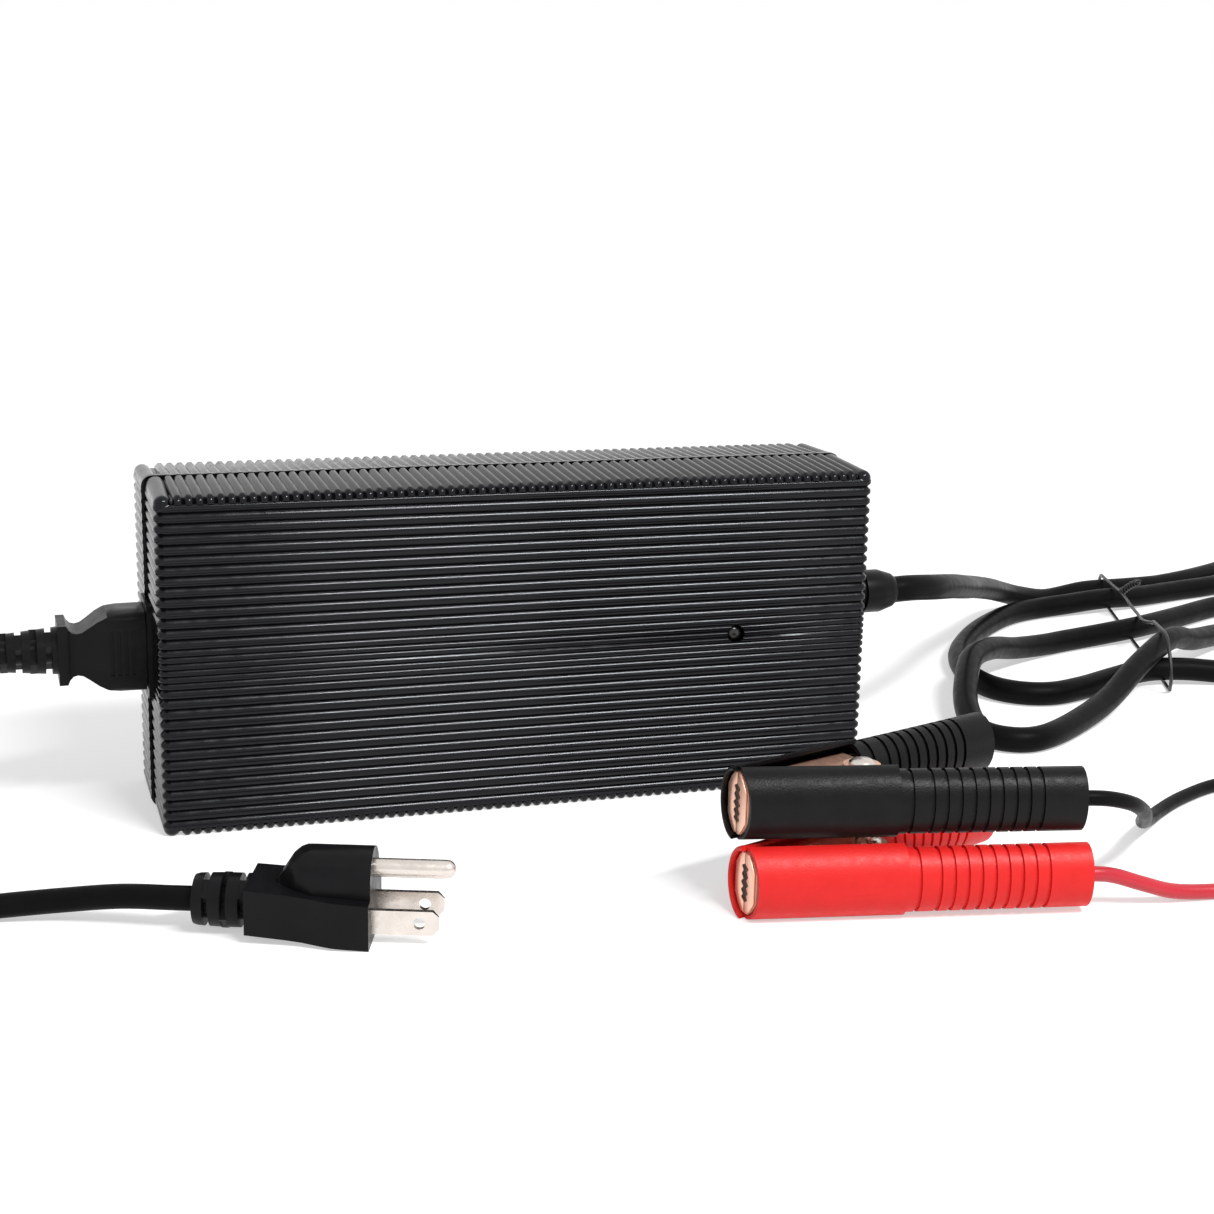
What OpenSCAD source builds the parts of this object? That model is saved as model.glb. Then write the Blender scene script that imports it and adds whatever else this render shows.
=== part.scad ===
/* [Case] */
// Length of the case over the rear cover's ribs
case_l = 216.6; // [200:0.1:250]
// How far the front cover stands back from the rear cover at each end
end_step = 0.9; // [0.3:0.1:2]
// Height over the parting line
case_h = 99.6; // [92:0.1:115]
// Depth of the front cover
front_d = 27.5; // [26:0.5:34]
// Depth of the rear cover
rear_d = 27.5; // [26:0.5:34]
// How far the top draws in towards front and back
top_draft = 1.0; // [0.5:0.1:1.5]
// Top and end walls, from rib crest to inside
wall = 4.3; // [3.8:0.1:5]
// Front and back walls, from rib crest to inside
face_wall = 3.8; // [3.4:0.1:4.4]
// Rounding of the front and back edges
edge_r = 2.6; // [2.2:0.1:3.4]
// Rounding of the long corners at the parting line
corner_r = 3.2; // [2.8:0.1:4.5]
// Width of the groove at the parting line
groove_w = 1.6; // [1:0.1:2.4]

/* [Ribs] */
// Spacing of the ribs that run from front to back
col_pitch = 2.96; // [2.6:0.02:4]
// Spacing of the wide ribs round the case
row_pitch = 3.0; // [2.6:0.1:4]
// Half width of a wide rib's crest
crest = 0.5; // [0.3:0.05:0.7]
// Spacing of the fine ribs in the middle band
fine_pitch = 1.9; // [1.6:0.1:2.4]
// Half width of a fine rib's crest
fine_crest = 0.35; // [0.2:0.05:0.5]
// Number of fine ribs
fine_rows = 6; // [4:1:8]
// Step between the fine band and the wide ribs
band_gap = 2.35; // [2:0.05:3]

/* [Inlet and connector] */
// Height of the inlet's middle over the ground
inlet_z = 49.7; // [40:0.1:58]
// Long side of the socket
socket_l = 23; // [22.6:0.1:25]
// Short side of the socket
socket_w = 15.2; // [14.8:0.1:17]
// Depth of the socket
socket_deep = 17; // [16.5:0.5:20]
// Cut across the two earth-side corners of the socket
socket_chamfer = 4; // [3:0.5:5]
// Gap between the connector's nose and the socket
nose_gap = 0.3; // [0.2:0.05:0.5]
// Length of the connector's nose
nose_l = 16; // [14:0.5:16.4]
// Width of an inlet blade
blade_w = 4; // [3.5:0.1:4.5]
// Thickness of an inlet blade
blade_t = 2; // [1.5:0.1:2.2]
// Distance between the live and neutral blades
blade_pitch = 14; // [13.5:0.1:14.5]
// Offset between the earth blade and the other two
earth_offset = 4; // [3.5:0.1:4.5]
// How far the inlet's rim stands proud of the rear cover's ribs
rim_out = 0.4; // [0.2:0.1:3]

/* [Mains lead] */
// Diameter of the mains lead
mains_d = 6.4; // [5.5:0.1:6.8]
// Turns of the coil that wind inwards, and again outwards
coil_turns = 2; // [1:1:3]
// Radius of the coil's innermost turn
coil_r = 30; // [26:0.5:34]
// Step from turn to turn and from layer to layer
coil_pitch = 7.0; // [6.9:0.1:8]

/* [Mains plug] */
// Distance between the two flat blades
plug_pitch = 12.7; // [12.4:0.1:13]
// Height of a flat blade
plug_blade_h = 6.35; // [6:0.05:6.6]
// Thickness of a flat blade
plug_blade_t = 1.5; // [1.3:0.1:1.7]
// Length of a flat blade
plug_blade_l = 17; // [15.9:0.1:18.3]
// Diameter of the earth pin
plug_pin_d = 4.8; // [4.6:0.1:5]
// Length of the earth pin
plug_pin_l = 20.6; // [19:0.1:22]
// Distance from the flat blades to the earth pin
plug_pin_up = 11.9; // [11.5:0.1:12.3]
// Width of the plug at its face
plug_w = 24.4; // [22:0.2:27]

/* [Output lead] */
// Diameter of the output lead
output_d = 8.5; // [7.5:0.1:8.6]
// Height of the output lead's exit
exit_z = 54; // [40:0.5:60]
// Diameter of each clamp lead
lead_d = 4.2; // [3.6:0.1:4.4]
// Diameter of the wire tie
tie_d = 1.3; // [1:0.1:1.4]

/* [Clamps] */
// Length of one clamp half
clamp_l = 91.5; // [85:0.5:105]
// Height of a jaw sleeve
clamp_h = 19.8; // [18.6:0.1:22]
// Height of a handle sleeve
handle_h = 17.6; // [17:0.1:18.4]
// Depth of a handle sleeve
handle_w = 13; // [12:0.5:14]
// Wall of the sleeves
sleeve_wall = 1.0; // [0.8:0.1:1.2]
// Length from the tips to the pivot
jaw_reach = 36; // [34:0.5:42]
// Angle between the two closed halves
spread = 31; // [27:1:34]
// Thickness of the jaw metal
jaw_t = 1.2; // [0.8:0.1:1.3]
// Diameter of the pivot rivet
rivet_d = 4; // [3:0.1:5]
// Diameter of the spring wire
spring_wire = 1.3; // [1:0.1:1.5]
// Rings moulded into each handle
ring_count = 9; // [6:1:10]

/* [Inside] */
// Length of the circuit board
board_l = 180; // [170:1:184]
// Height of the circuit board
board_h = 84; // [80:1:86]
// Thickness of the circuit board
board_t = 1.6; // [1:0.1:2]
// Height of the board's posts
post_h = 6.1; // [4:0.1:8]
// Diameter of the cover screws
screw_d = 2.9; // [2.5:0.1:3.5]
// Diameter of the indicator light
led_d = 5; // [3:0.1:5.2]

/* [Hidden] */
$fn = 48;
black = [0.06, 0.06, 0.065];
red = [0.9, 0.15, 0.14];
copper = [0.8, 0.5, 0.4];
nickel = [0.75, 0.74, 0.72];
aluminium = [0.7, 0.72, 0.74];
far = 400;
eps = 0.01;

// ---- case ----
rib_foot = 1.3;       // the core behind the ribs starts here
rib_floor = 0.3;      // the wall beyond the last rib ends at least this far out
ground_cut = 0.35;    // the lowest ribs are cut flat by this much
row_margin = 3.6;     // clear of ribs above and below
row_mid = case_h / 2 - 0.8;
half_l = case_l / 2;
half_front = half_l - end_step;
corner_sunk = 0.15;   // the corners lie just under the crests
cavity_x = half_front - wall;
cavity_top = case_h - wall;
cols = floor(2 * (half_front - corner_r) / col_pitch) - 1;
col_end = (cols - 1) / 2 * col_pitch + crest + 0.9;
fine_span = (fine_rows - 1) * fine_pitch;
coarse_from = fine_span / 2 + band_gap;
coarse_rows = floor((case_h / 2 - row_margin - coarse_from) / row_pitch) + 1;
col_ribs = [for (k = [0:cols - 1]) [(k - (cols - 1) / 2) * col_pitch, crest]];
row_ribs = concat(
    [for (k = [1:coarse_rows]) [row_mid - coarse_from - (coarse_rows - k) * row_pitch, crest]],
    [for (k = [0:fine_rows - 1]) [row_mid - fine_span / 2 + k * fine_pitch, fine_crest]],
    [for (k = [0:coarse_rows - 1]) [row_mid + coarse_from + k * row_pitch, crest]]);

function valley(a, b) = [edge_r - (b[0] - b[1] - a[0] - a[1]) / 2, (b[0] - b[1] + a[0] + a[1]) / 2];
function edge_in(reach, deep, angle) = reach - (edge_r + (deep - edge_r) * sin(angle)) / cos(angle);

// section of a ribbed wall: x out of the wall, y along it, with 45 degree flanks
module ribbed_wall(ribs, from, to) {
    last = len(ribs) - 1;
    polygon(concat(
        [[0, from], [max(rib_floor, edge_r - (ribs[0][0] - ribs[0][1] - from)), from]],
        [for (i = [0:last]) each concat(
            [[edge_r, ribs[i][0] - ribs[i][1]], [edge_r, ribs[i][0] + ribs[i][1]]],
            i < last ? [valley(ribs[i], ribs[i + 1])] : [])],
        [[max(rib_floor, edge_r - (to - ribs[last][0] - ribs[last][1])), to], [0, to]]));
}

// one side wall with the rounded edge in front of it, for the wall on the +x side
module side_wall(reach, deep, angle, ribs, from, to) {
    translate([edge_in(reach, deep, angle), edge_r - deep, 0]) {
        rotate([0, 0, -90]) rotate_extrude(angle = 90 - angle) ribbed_wall(ribs, from, to);
        rotate([0, 0, -angle]) translate([0, deep, 0]) rotate([90, 0, 0]) linear_extrude(deep)
            ribbed_wall(ribs, from, to);
    }
}

// round bar between two points
module rod(p, q, r1, r2) {
    d = q - p;
    translate(p) rotate([0, acos(d[2] / norm(d)), atan2(d[1], d[0])])
        cylinder(h = norm(d), r1 = r1, r2 = r2);
}

// half case, open side towards +y, before it is hollowed
module ribbed_shell(half, deep) {
    top_a = atan(top_draft / deep);
    xc = half - edge_r;
    zt = edge_in(case_h / 2, deep, top_a) + case_h / 2;
    zb = edge_r - ground_cut;
    yc = edge_r - deep;
    difference() {
        union() {
            translate([-xc - eps, yc - edge_r + rib_foot + 0.3, zb - 1])
                cube([2 * xc + 2 * eps, deep - rib_foot - 0.3, zt - zb + 2]);
            for (s = [0, 1]) mirror([s, 0, 0]) side_wall(half, deep, 0, row_ribs, zb, zt);
            translate([-xc, yc, 0]) rotate([0, 0, -90]) translate([0, 2 * xc, 0]) rotate([90, 0, 0])
                linear_extrude(2 * xc) ribbed_wall(row_ribs, zb, zt);
            translate([0, 0, case_h / 2]) rotate([0, -90, 0])
                side_wall(case_h / 2, deep, top_a, col_ribs, -col_end, col_end);
            translate([0, 0, case_h / 2]) rotate([0, -90, 0]) mirror([1, 0, 0])
                side_wall(case_h / 2 + ground_cut, deep, 0, col_ribs, -col_end, col_end);
            for (s = [-1, 1]) for (z = [[zt, case_h - corner_r], [zb, corner_r - ground_cut]]) {
                rod([s * xc, yc, z[0]], [s * (half - corner_r), 0, z[1]],
                    edge_r - corner_sunk, corner_r - corner_sunk);
                translate([s * xc, yc, z[0]]) sphere(r = edge_r - corner_sunk);
            }
        }
        translate([-far, -groove_w / 2, -far]) cube([2 * far, far, 2 * far]);
        translate([-far, -far, -10]) cube([2 * far, 2 * far, 10]);
    }
}

// a cut or block given by its lowest and highest corner
module block(low, high) {
    translate(low) cube(high - low);
}

// cylinder along y between two y values
module post(x, z, r, y0, y1) {
    translate([x, y1, z]) rotate([90, 0, 0]) cylinder(h = y1 - y0, r = r);
}

boss_in = 9.4;        // cover bosses from the inside walls
boss_x = half_front - boss_in;
boss_zs = [boss_in + 0.4, case_h - boss_in - 0.4];
boss_r = 4;
boss_meet = 0.5;
screw_seat = 12;
screw_head_r = 2.8;
screw_head_h = 2.2;
screw_tip = 12;
screw_fit = 0.05;
lip_t = 1.7;
lip_deep = 3.4;
lip_gap = 0.15;
pocket_x = half_front - 1.2;       // flat seats of the inlet and the strain relief
rim_x = half_l + rim_out;
barrel_l = socket_l + 2.8;
barrel_w = socket_w + 2.9;
flange_l = socket_l + 4.4;
flange_w = socket_w + 4.7;
seat_gap = 0.1;
relief_r = 7.3;
relief_neck_r = 6;
led_x = 64.4;
led_z = row_mid + 0.9;
led_gap = 0.3;

// openings in the ends, shared by both covers
module end_openings() {
    block([-far, -flange_w / 2 - 0.3, inlet_z - flange_l / 2 - 0.3],
          [-pocket_x, flange_w / 2 + 0.3, inlet_z + flange_l / 2 + 0.3]);
    block([-pocket_x - 1, -barrel_w / 2 - seat_gap, inlet_z - barrel_l / 2 - seat_gap],
          [-cavity_x + 1, barrel_w / 2 + seat_gap, inlet_z + barrel_l / 2 + seat_gap]);
    translate([pocket_x, 0, exit_z]) rotate([0, 90, 0]) cylinder(h = 20, r = relief_r + 0.6);
    translate([cavity_x - 1, 0, exit_z]) rotate([0, 90, 0]) cylinder(h = 20, r = relief_neck_r + seat_gap);
}

module front_cover() {
    color(black) difference() {
        union() {
            difference() {
                ribbed_shell(half_front, front_d);
                block([-cavity_x, face_wall - front_d, wall], [cavity_x, 1, cavity_top]);
                // rebate for the rear cover's lip
                block([-cavity_x - lip_t - lip_gap, -lip_deep - lip_gap, wall - lip_t - lip_gap],
                      [cavity_x + lip_t + lip_gap, 1, cavity_top + lip_t + lip_gap]);
            }
            for (s = [-1, 1]) for (z = boss_zs) post(s * boss_x, z, boss_r, -front_d + 2, boss_meet);
        }
        for (s = [-1, 1]) for (z = boss_zs)
            post(s * boss_x, z, screw_d / 2 + screw_fit, -screw_tip - 1, boss_meet + 1);
        post(led_x, led_z, led_d / 2 + led_gap, -front_d - 1, 0);
        end_openings();
    }
}

field_l = 150;        // smooth field in the middle of the back
field_h = 60;
module rear_cover() {
    color(black) difference() {
        union() {
            difference() {
                union() {
                    mirror([0, 1, 0]) ribbed_shell(half_l, rear_d);
                    rim_strip();
                }
                block([-cavity_x, -1, wall], [cavity_x, rear_d - face_wall, cavity_top]);
                block([-field_l / 2, rear_d - rib_foot, case_h / 2 - field_h / 2],
                      [field_l / 2, far, case_h / 2 + field_h / 2]);
                block([-far, -far, -10], [far, far, 0]);
            }
            difference() {
                block([-cavity_x - lip_t, -lip_deep, wall - lip_t],
                      [cavity_x + lip_t, groove_w / 2 + 1, cavity_top + lip_t]);
                block([-cavity_x, -far, wall], [cavity_x, far, cavity_top]);
            }
            for (s = [-1, 1]) for (z = boss_zs) post(s * boss_x, z, boss_r + 0.5, boss_meet, rear_d - 2);
            for (s = [-1, 1]) for (z = hole_zs) post(s * hole_x, z, post_r, board_back, rear_d - 2);
        }
        for (s = [-1, 1]) for (z = boss_zs) {
            post(s * boss_x, z, screw_d / 2 + 0.2, -1, rear_d);
            post(s * boss_x, z, screw_head_r + 0.3, screw_seat, rear_d + 1);
        }
        for (s = [-1, 1]) for (z = hole_zs) post(s * hole_x, z, pcb_screw_r + screw_fit, board_back - 1, board_back + 5);
        end_openings();
    }
}

// smooth strip between the groove and the rear ribs
rim_inset = 0.12;
rim_w = 2.4;
module rim_strip() {
    h = case_h + ground_cut - 2 * rim_inset;
    translate([0, groove_w / 2 + rim_w, 0]) rotate([90, 0, 0]) linear_extrude(rim_w) difference() {
        translate([0, h / 2 + rim_inset - ground_cut])
            polygon(round_rect(case_l - 2 * rim_inset, h, corner_r - rim_inset, 6));
        translate([-cavity_x, wall]) square([2 * cavity_x, cavity_top - wall]);
    }
}

module cover_screws() {
    color(nickel) for (s = [-1, 1]) for (z = boss_zs) difference() {
        union() {
            post(s * boss_x, z, screw_d / 2, -screw_tip, screw_seat + 1);
            post(s * boss_x, z, screw_head_r, screw_seat, screw_seat + screw_head_h);
        }
        for (a = [0, 90]) translate([s * boss_x, screw_seat + screw_head_h, z]) rotate([0, a, 0])
            cube([3.4, 2, 0.8], center = true);
    }
}

// ---- inlet ----
// socket outline, x along y of the model and y along z of the model
module socket_outline(l, w, c) {
    polygon([[w / 2, l / 2], [w / 2, -l / 2], [c - w / 2, -l / 2], [-w / 2, c - l / 2],
             [-w / 2, l / 2 - c], [c - w / 2, l / 2]]);
}
// extrude a (y, z) outline along x
module along(x0, x1) {
    translate([x0, 0, 0]) rotate([90, 0, 90]) linear_extrude(x1 - x0) children();
}

blade_sites = [[earth_offset / 2, blade_pitch / 2], [earth_offset / 2, -blade_pitch / 2], [-earth_offset / 2, 0]];
socket_floor = socket_deep - rim_x;    // x of the socket's floor
back_wall = 2.5;
tag_l = 5.5;
blade_tip = 2.3;
snap_w = 1.4;
snap_t = 2;

module mains_inlet() {
    color(black) translate([0, 0, inlet_z]) difference() {
        union() {
            along(-rim_x, -pocket_x) polygon(round_rect(flange_w, flange_l, 2, 4));
            along(-pocket_x - eps, socket_floor + back_wall) square([barrel_w, barrel_l], center = true);
            along(-cavity_x, -cavity_x + snap_t) square([barrel_w + 2 * snap_w, barrel_l + 2 * snap_w], center = true);
        }
        along(-rim_x - 1, socket_floor) socket_outline(socket_l, socket_w, socket_chamfer);
        for (p = blade_sites) along(socket_floor - 1, socket_floor + back_wall + 1)
            translate(p) square([blade_w, blade_t], center = true);
    }
}
module inlet_blades() {
    color(nickel) translate([0, 0, inlet_z]) for (p = blade_sites)
        along(blade_tip - rim_x, socket_floor + back_wall + tag_l)
            translate(p) square([blade_w, blade_t], center = true);
}

// insulated wire that runs along x, bends to +y and ends on the board
module bent_wire(x0, x1, y0, y1, z, r, bend) {
    s = sign(x1 - x0);
    rod([x0, y0, z], [x1 - s * bend, y0, z], r, r);
    translate([x1 - s * bend, y0 + bend, z]) rotate([0, 0, s > 0 ? -90 : 180])
        rotate_extrude(angle = 90) translate([bend, 0]) circle(r = r);
    rod([x1, y0 + bend, z], [x1, y1, z], r, r);
}
tag_x = socket_floor + back_wall + tag_l;
module inlet_wires() {
    for (i = [0:2]) color(["saddlebrown", "royalblue", "green"][i])
        bent_wire(tag_x, tag_x + 9, blade_sites[i][0], board_front, inlet_z + blade_sites[i][1], 1.3, 4);
}

// ---- board and what stands on it ----
board_back = rear_d - face_wall - post_h;
board_front = board_back - board_t;
board_mid = case_h / 2;
hole_x = board_l / 2 - 6;
hole_zs = [board_mid - board_h / 2 + 6, board_mid + board_h / 2 - 6];
post_r = 3;
pcb_screw_r = 1.2;

module circuit_board() {
    color([0.1, 0.35, 0.15]) difference() {
        block([-board_l / 2, board_front, board_mid - board_h / 2], [board_l / 2, board_back, board_mid + board_h / 2]);
        for (s = [-1, 1]) for (z = hole_zs) post(s * hole_x, z, pcb_screw_r + 0.3, 0, rear_d);
    }
}
module board_screws() {
    color(nickel) for (s = [-1, 1]) for (z = hole_zs) {
        post(s * hole_x, z, pcb_screw_r, board_front - 0.5, board_back + 4.5);
        post(s * hole_x, z, 2.4, board_front - 1.8, board_front);
    }
}
module insulation_sheet() {
    y = rear_d - face_wall;
    color([0.9, 0.88, 0.8]) difference() {
        block([-board_l / 2 - 1, y - 0.4, wall + 2], [board_l / 2 + 1, y, cavity_top - 2]);
        for (s = [-1, 1]) for (z = hole_zs) post(s * hole_x, z, post_r + 0.3, 0, far);
    }
}
// box on the board: middle x, middle z, size along x, z and height
module on_board(x, z, l, w, h) {
    block([x - l / 2, board_front - h, z - w / 2], [x + l / 2, board_front, z + w / 2]);
}
module can(x, z, d, h) {
    post(x, z, d / 2, board_front - h, board_front);
}
// ring core lying on the board, with its winding as raised bands
module ring_core(x, z, major, minor, bands) {
    translate([x, board_front - minor - 0.6, z]) rotate([90, 0, 0]) {
        rotate_extrude() translate([major, 0]) circle(r = minor);
        for (i = [0:bands - 1]) rotate([0, 0, i * 360 / bands]) rotate_extrude(angle = 180 / bands)
            translate([major, 0]) circle(r = minor + 0.6);
    }
}
// plate upright on the board with fins on one side (dir 1 up, -1 down)
module heat_sink(x0, x1, z, t, h, fin, dir) {
    z1 = z + dir * t;
    block([x0, board_front - h, min(z, z1)], [x1, board_front, max(z, z1)]);
    n = floor((x1 - x0) / 7);
    for (i = [0:n]) {
        x = x0 + i * (x1 - x0 - 1.5) / n;
        block([x, board_front - h, min(z1, z1 + dir * fin)], [x + 1.5, board_front - 2, max(z1, z1 + dir * fin)]);
    }
}
// flat power package with its tab, its back against the face at z
module power_package(x, z, dir) {
    block([x - 5, board_front - 16, min(z, z + dir * 4.4)], [x + 5, board_front - 6, max(z, z + dir * 4.4)]);
    block([x - 5, board_front - 22, min(z, z + dir * 1.3)], [x + 5, board_front - 15.9, max(z, z + dir * 1.3)]);
    for (i = [-1:1]) block([x + i * 2.54 - 0.4, board_front - 6, min(z + dir * 2, z + dir * 2.5)],
                           [x + i * 2.54 + 0.4, board_front, max(z + dir * 2, z + dir * 2.5)]);
}
sink_h = 31;
sink_t = 3;
sink_top = board_mid + 31;
sink_low = board_mid - 35;
core_x = 8;
core_w = 40;
core_h = 31;
core_t = 20;
slot_w = 8;
leg_w = 12;

module input_fuse() {
    color("white") post_z(-76, 11.2, 31.2, 2.7);
    color(nickel) {
        post_z(-76, 10.2, 15.2, 3);
        post_z(-76, 27.2, 32.2, 3);
    }
}
// cylinder along z that touches the board, its ends measured from the board's middle
module post_z(x, z0, z1, r) {
    translate([x, board_front - 3, board_mid + z0]) cylinder(h = z1 - z0, r = r);
}
module x_capacitor() {
    color("goldenrod") on_board(-71, board_mid - 25, 10, 22, 16);
}
module emi_choke() {
    color("darkorange") ring_core(-50, board_mid - 23, 8, 4, 10);
}
module bridge_rectifier() {
    color([0.12, 0.12, 0.12]) on_board(-55, board_mid + 10, 22, 4, 18);
}
module bulk_capacitors() {
    color([0.15, 0.2, 0.4]) for (z = [-27, -1]) can(-26, board_mid + z, 22, 34);
}
module primary_heat_sink() {
    color(aluminium) heat_sink(-64, 6, sink_top, sink_t, sink_h, 5, 1);
}
module power_transistors() {
    color([0.15, 0.15, 0.16]) for (x = [-50, -20]) power_package(x, sink_top, -1);
}
module secondary_heat_sink() {
    color(aluminium) heat_sink(30, 76, sink_low, sink_t, sink_h, 4, -1);
}
module output_rectifiers() {
    color([0.15, 0.15, 0.16]) for (x = [42, 66]) power_package(x, sink_low, 1);
}
module transformer_core() {
    color([0.2, 0.2, 0.22]) difference() {
        on_board(core_x, board_mid, core_w, core_t, core_h);
        for (s = [-1, 1]) translate([core_x + s * (leg_w + slot_w) / 2, board_front - core_h / 2, board_mid])
            cube([slot_w, core_h - 2 * 5.5, far], center = true);
    }
}
module transformer_winding() {
    color([0.85, 0.75, 0.2]) translate([core_x, board_front - core_h / 2, board_mid]) difference() {
        cube([leg_w + 2 * slot_w - 0.4, core_h - 11.4, core_t + 16], center = true);
        cube([leg_w + 0.4, core_h, core_t + 0.4], center = true);
    }
    color(nickel) for (s = [-1, 1]) for (k = [-2:2])
        post(core_x + 5 * k, board_mid + s * (core_t / 2 + 5), 0.5, board_front - 6, board_front);
}
module output_inductor() {
    color("darkorange") ring_core(50, board_mid - 13, 9, 4, 14);
}
module output_capacitors() {
    color([0.1, 0.3, 0.2]) for (x = [40, 52, 64]) for (z = [12, 25]) can(x, board_mid + z, 10, 20);
}
module indicator_led() {
    flange = 1;
    color([0.3, 0.32, 0.3]) translate([led_x, face_wall - front_d, led_z]) rotate([90, 0, 0]) rotate_extrude()
        polygon(concat([[0, -flange], [led_d / 2 + 0.45, -flange], [led_d / 2 + 0.45, 0], [led_d / 2, 0]],
            [for (a = [0:15:90]) [led_d / 2 * cos(a), 1 + 2 * sin(a)]]));
}
module led_wires() {
    color(red) for (s = [-1, 1])
        post(led_x, led_z + s * 1.27, 0.4, face_wall - front_d + 1, board_front);
}
module output_wires() {
    for (s = [-1, 1]) color(s > 0 ? red : black)
        bent_wire(cavity_x - snap_t, cavity_x - 17, 0, board_front, exit_z + s * 2.4, 1.6, 5);
}

// strain relief held between the covers
relief_out = 21.4;
relief_end = half_front + relief_out;
module output_strain_relief() {
    color(black) translate([0, 0, exit_z]) rotate([0, 90, 0]) rotate_extrude() polygon([
        [0, cavity_x - snap_t], [relief_r + 0.7, cavity_x - snap_t], [relief_r + 0.7, cavity_x],
        [relief_neck_r, cavity_x], [relief_neck_r, pocket_x], [relief_r, pocket_x],
        [relief_r, half_l + 7], [relief_r - 0.5, half_l + 7.6], [relief_r - 1.5, half_l + 7.6],
        [relief_r - 1.5, half_l + 9.2], [relief_r - 0.4, half_l + 9.2], [relief_r - 0.4, half_l + 15],
        [output_d / 2 + 1.2, relief_end - 1], [output_d / 2 + 0.4, relief_end], [0, relief_end]]);
}

// ---- cords ----
function unit(v) = v / norm(v);
// point at t between p[i] and p[i + 1] of a smooth curve through p
function curve(p, i, t) =
    let (a = p[max(i - 1, 0)], b = p[i], c = p[i + 1], d = p[min(i + 2, len(p) - 1)])
    0.5 * (2 * b + (c - a) * t + (2 * a - 5 * b + 4 * c - d) * t * t + (3 * b - a - 3 * c + d) * t * t * t);
function smooth(p, n, low) = concat(
    [for (i = [0:len(p) - 2]) for (k = [0:n - 1]) let (q = curve(p, i, k / n)) [q[0], q[1], max(q[2], low)]],
    [p[len(p) - 1]]);
function heading(p, i) = unit(p[min(i + 1, len(p) - 1)] - p[max(i - 1, 0)]);
// least clearance of a tube of diameter d to itself, between points more than skip apart
function self_gap(p, d, skip) =
    min([for (i = [0:len(p) - 1 - skip]) min([for (j = [i + skip:len(p) - 1]) norm(p[i] - p[j])])]) - d;

// tube through the points from..to of a path, one ring per point, flat side down
module tube(p, d, sides, from, to) {
    n = to - from;
    rings = [for (i = [from:to])
        let (f = heading(p, i), s = unit(cross(f, [0, 0, 1])), u = cross(s, f))
        for (k = [0:sides - 1]) let (a = 270 + 180 / sides + 360 * k / sides)
            p[i] + d / 2 * (cos(a) * s + sin(a) * u)];
    polyhedron(rings, concat(
        [for (i = [0:n - 1]) for (k = [0:sides - 1])
            let (a = i * sides + k, b = i * sides + (k + 1) % sides) each [[a, b, b + sides], [a, b + sides, a + sides]]],
        [for (k = [1:sides - 2]) [0, k + 1, k]],
        [for (k = [1:sides - 2]) [n * sides, n * sides + k, n * sides + k + 1]]), convexity = 8);
}

// ---- mains lead ----
plug_at = [-62.8, -109.1, 6];      // between the flat blades at the plug's face
plug_yaw = -19.1;
plug_l = 31.5;
plug_relief_l = 14;
plug_relief_z = 2;
mate_gap = 0.3;
mate_x = -rim_x - mate_gap;        // the connector's shoulder
connector_l = 24.3;
connector_relief_l = 32;
relief_tail_x = mate_x - connector_l - connector_relief_l;
coil_at = [-238, -33];
coil_low = mains_d / 2;
coil_steps = 24;
coil_out = coil_turns + 0.25;      // turns from the innermost point to an end
coil_edge = coil_r + coil_pitch * coil_out;
function plug_point(x, z) = plug_at + [x * cos(plug_yaw), x * sin(plug_yaw), z];
function coil_point(u) =
    let (r = coil_r + coil_pitch * abs(u - coil_out), a = -90 - 360 * u,
         rise = min(max(2 * (u - coil_turns), 0), 1))
    [coil_at[0] + r * cos(a), coil_at[1] + r * sin(a), coil_low + coil_pitch * (1 - cos(180 * rise)) / 2];
plug_side = [
    plug_point(-plug_l - plug_relief_l, plug_relief_z), plug_point(-plug_l - plug_relief_l - 6.5, plug_relief_z),
    [-124, -86.5, 7.4], [-138, -80.5, 5.4], [-153, -77, 4], [-167, -76, 3.4], [-182, -76.4, coil_low],
    [-198, coil_at[1] - coil_edge, coil_low], [-214, coil_at[1] - coil_edge, coil_low],
    [coil_at[0] + 8, coil_at[1] - coil_edge, coil_low]];
coil_side = [for (k = [0:2 * coil_out * coil_steps]) coil_point(k / coil_steps)];
coil_top = coil_low + coil_pitch;
relief_side = [
    [coil_at[0] + 8, coil_at[1] + coil_edge, coil_top], [-221, 10.7, 11.6], [-212, 9.8, 16], [-206, 8, 22],
    [-201.5, 5.4, 30], [-197, 2.8, 38], [-191, 1, 44], [-182, 0.1, 48.3], [-173, 0, inlet_z],
    [relief_tail_x, 0, inlet_z]];
mains_path = concat(plug_side, coil_side, relief_side);
coil_from = len(plug_side) - 1;
coil_to = len(plug_side) + len(coil_side);
strap_t = 0.4;
strap_w = 5;

module mains_cord_plug_end() {
    color(black) tube(mains_path, mains_d, 8, 0, coil_from);
}
module mains_cord_coil() {
    echo(coil_gap = self_gap(mains_path, mains_d, 8));
    color(black) tube(mains_path, mains_d, 6, coil_from, coil_to);
}
module mains_cord_connector_end() {
    color(black) tube(mains_path, mains_d, 8, coil_to, len(mains_path) - 1);
}
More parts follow.
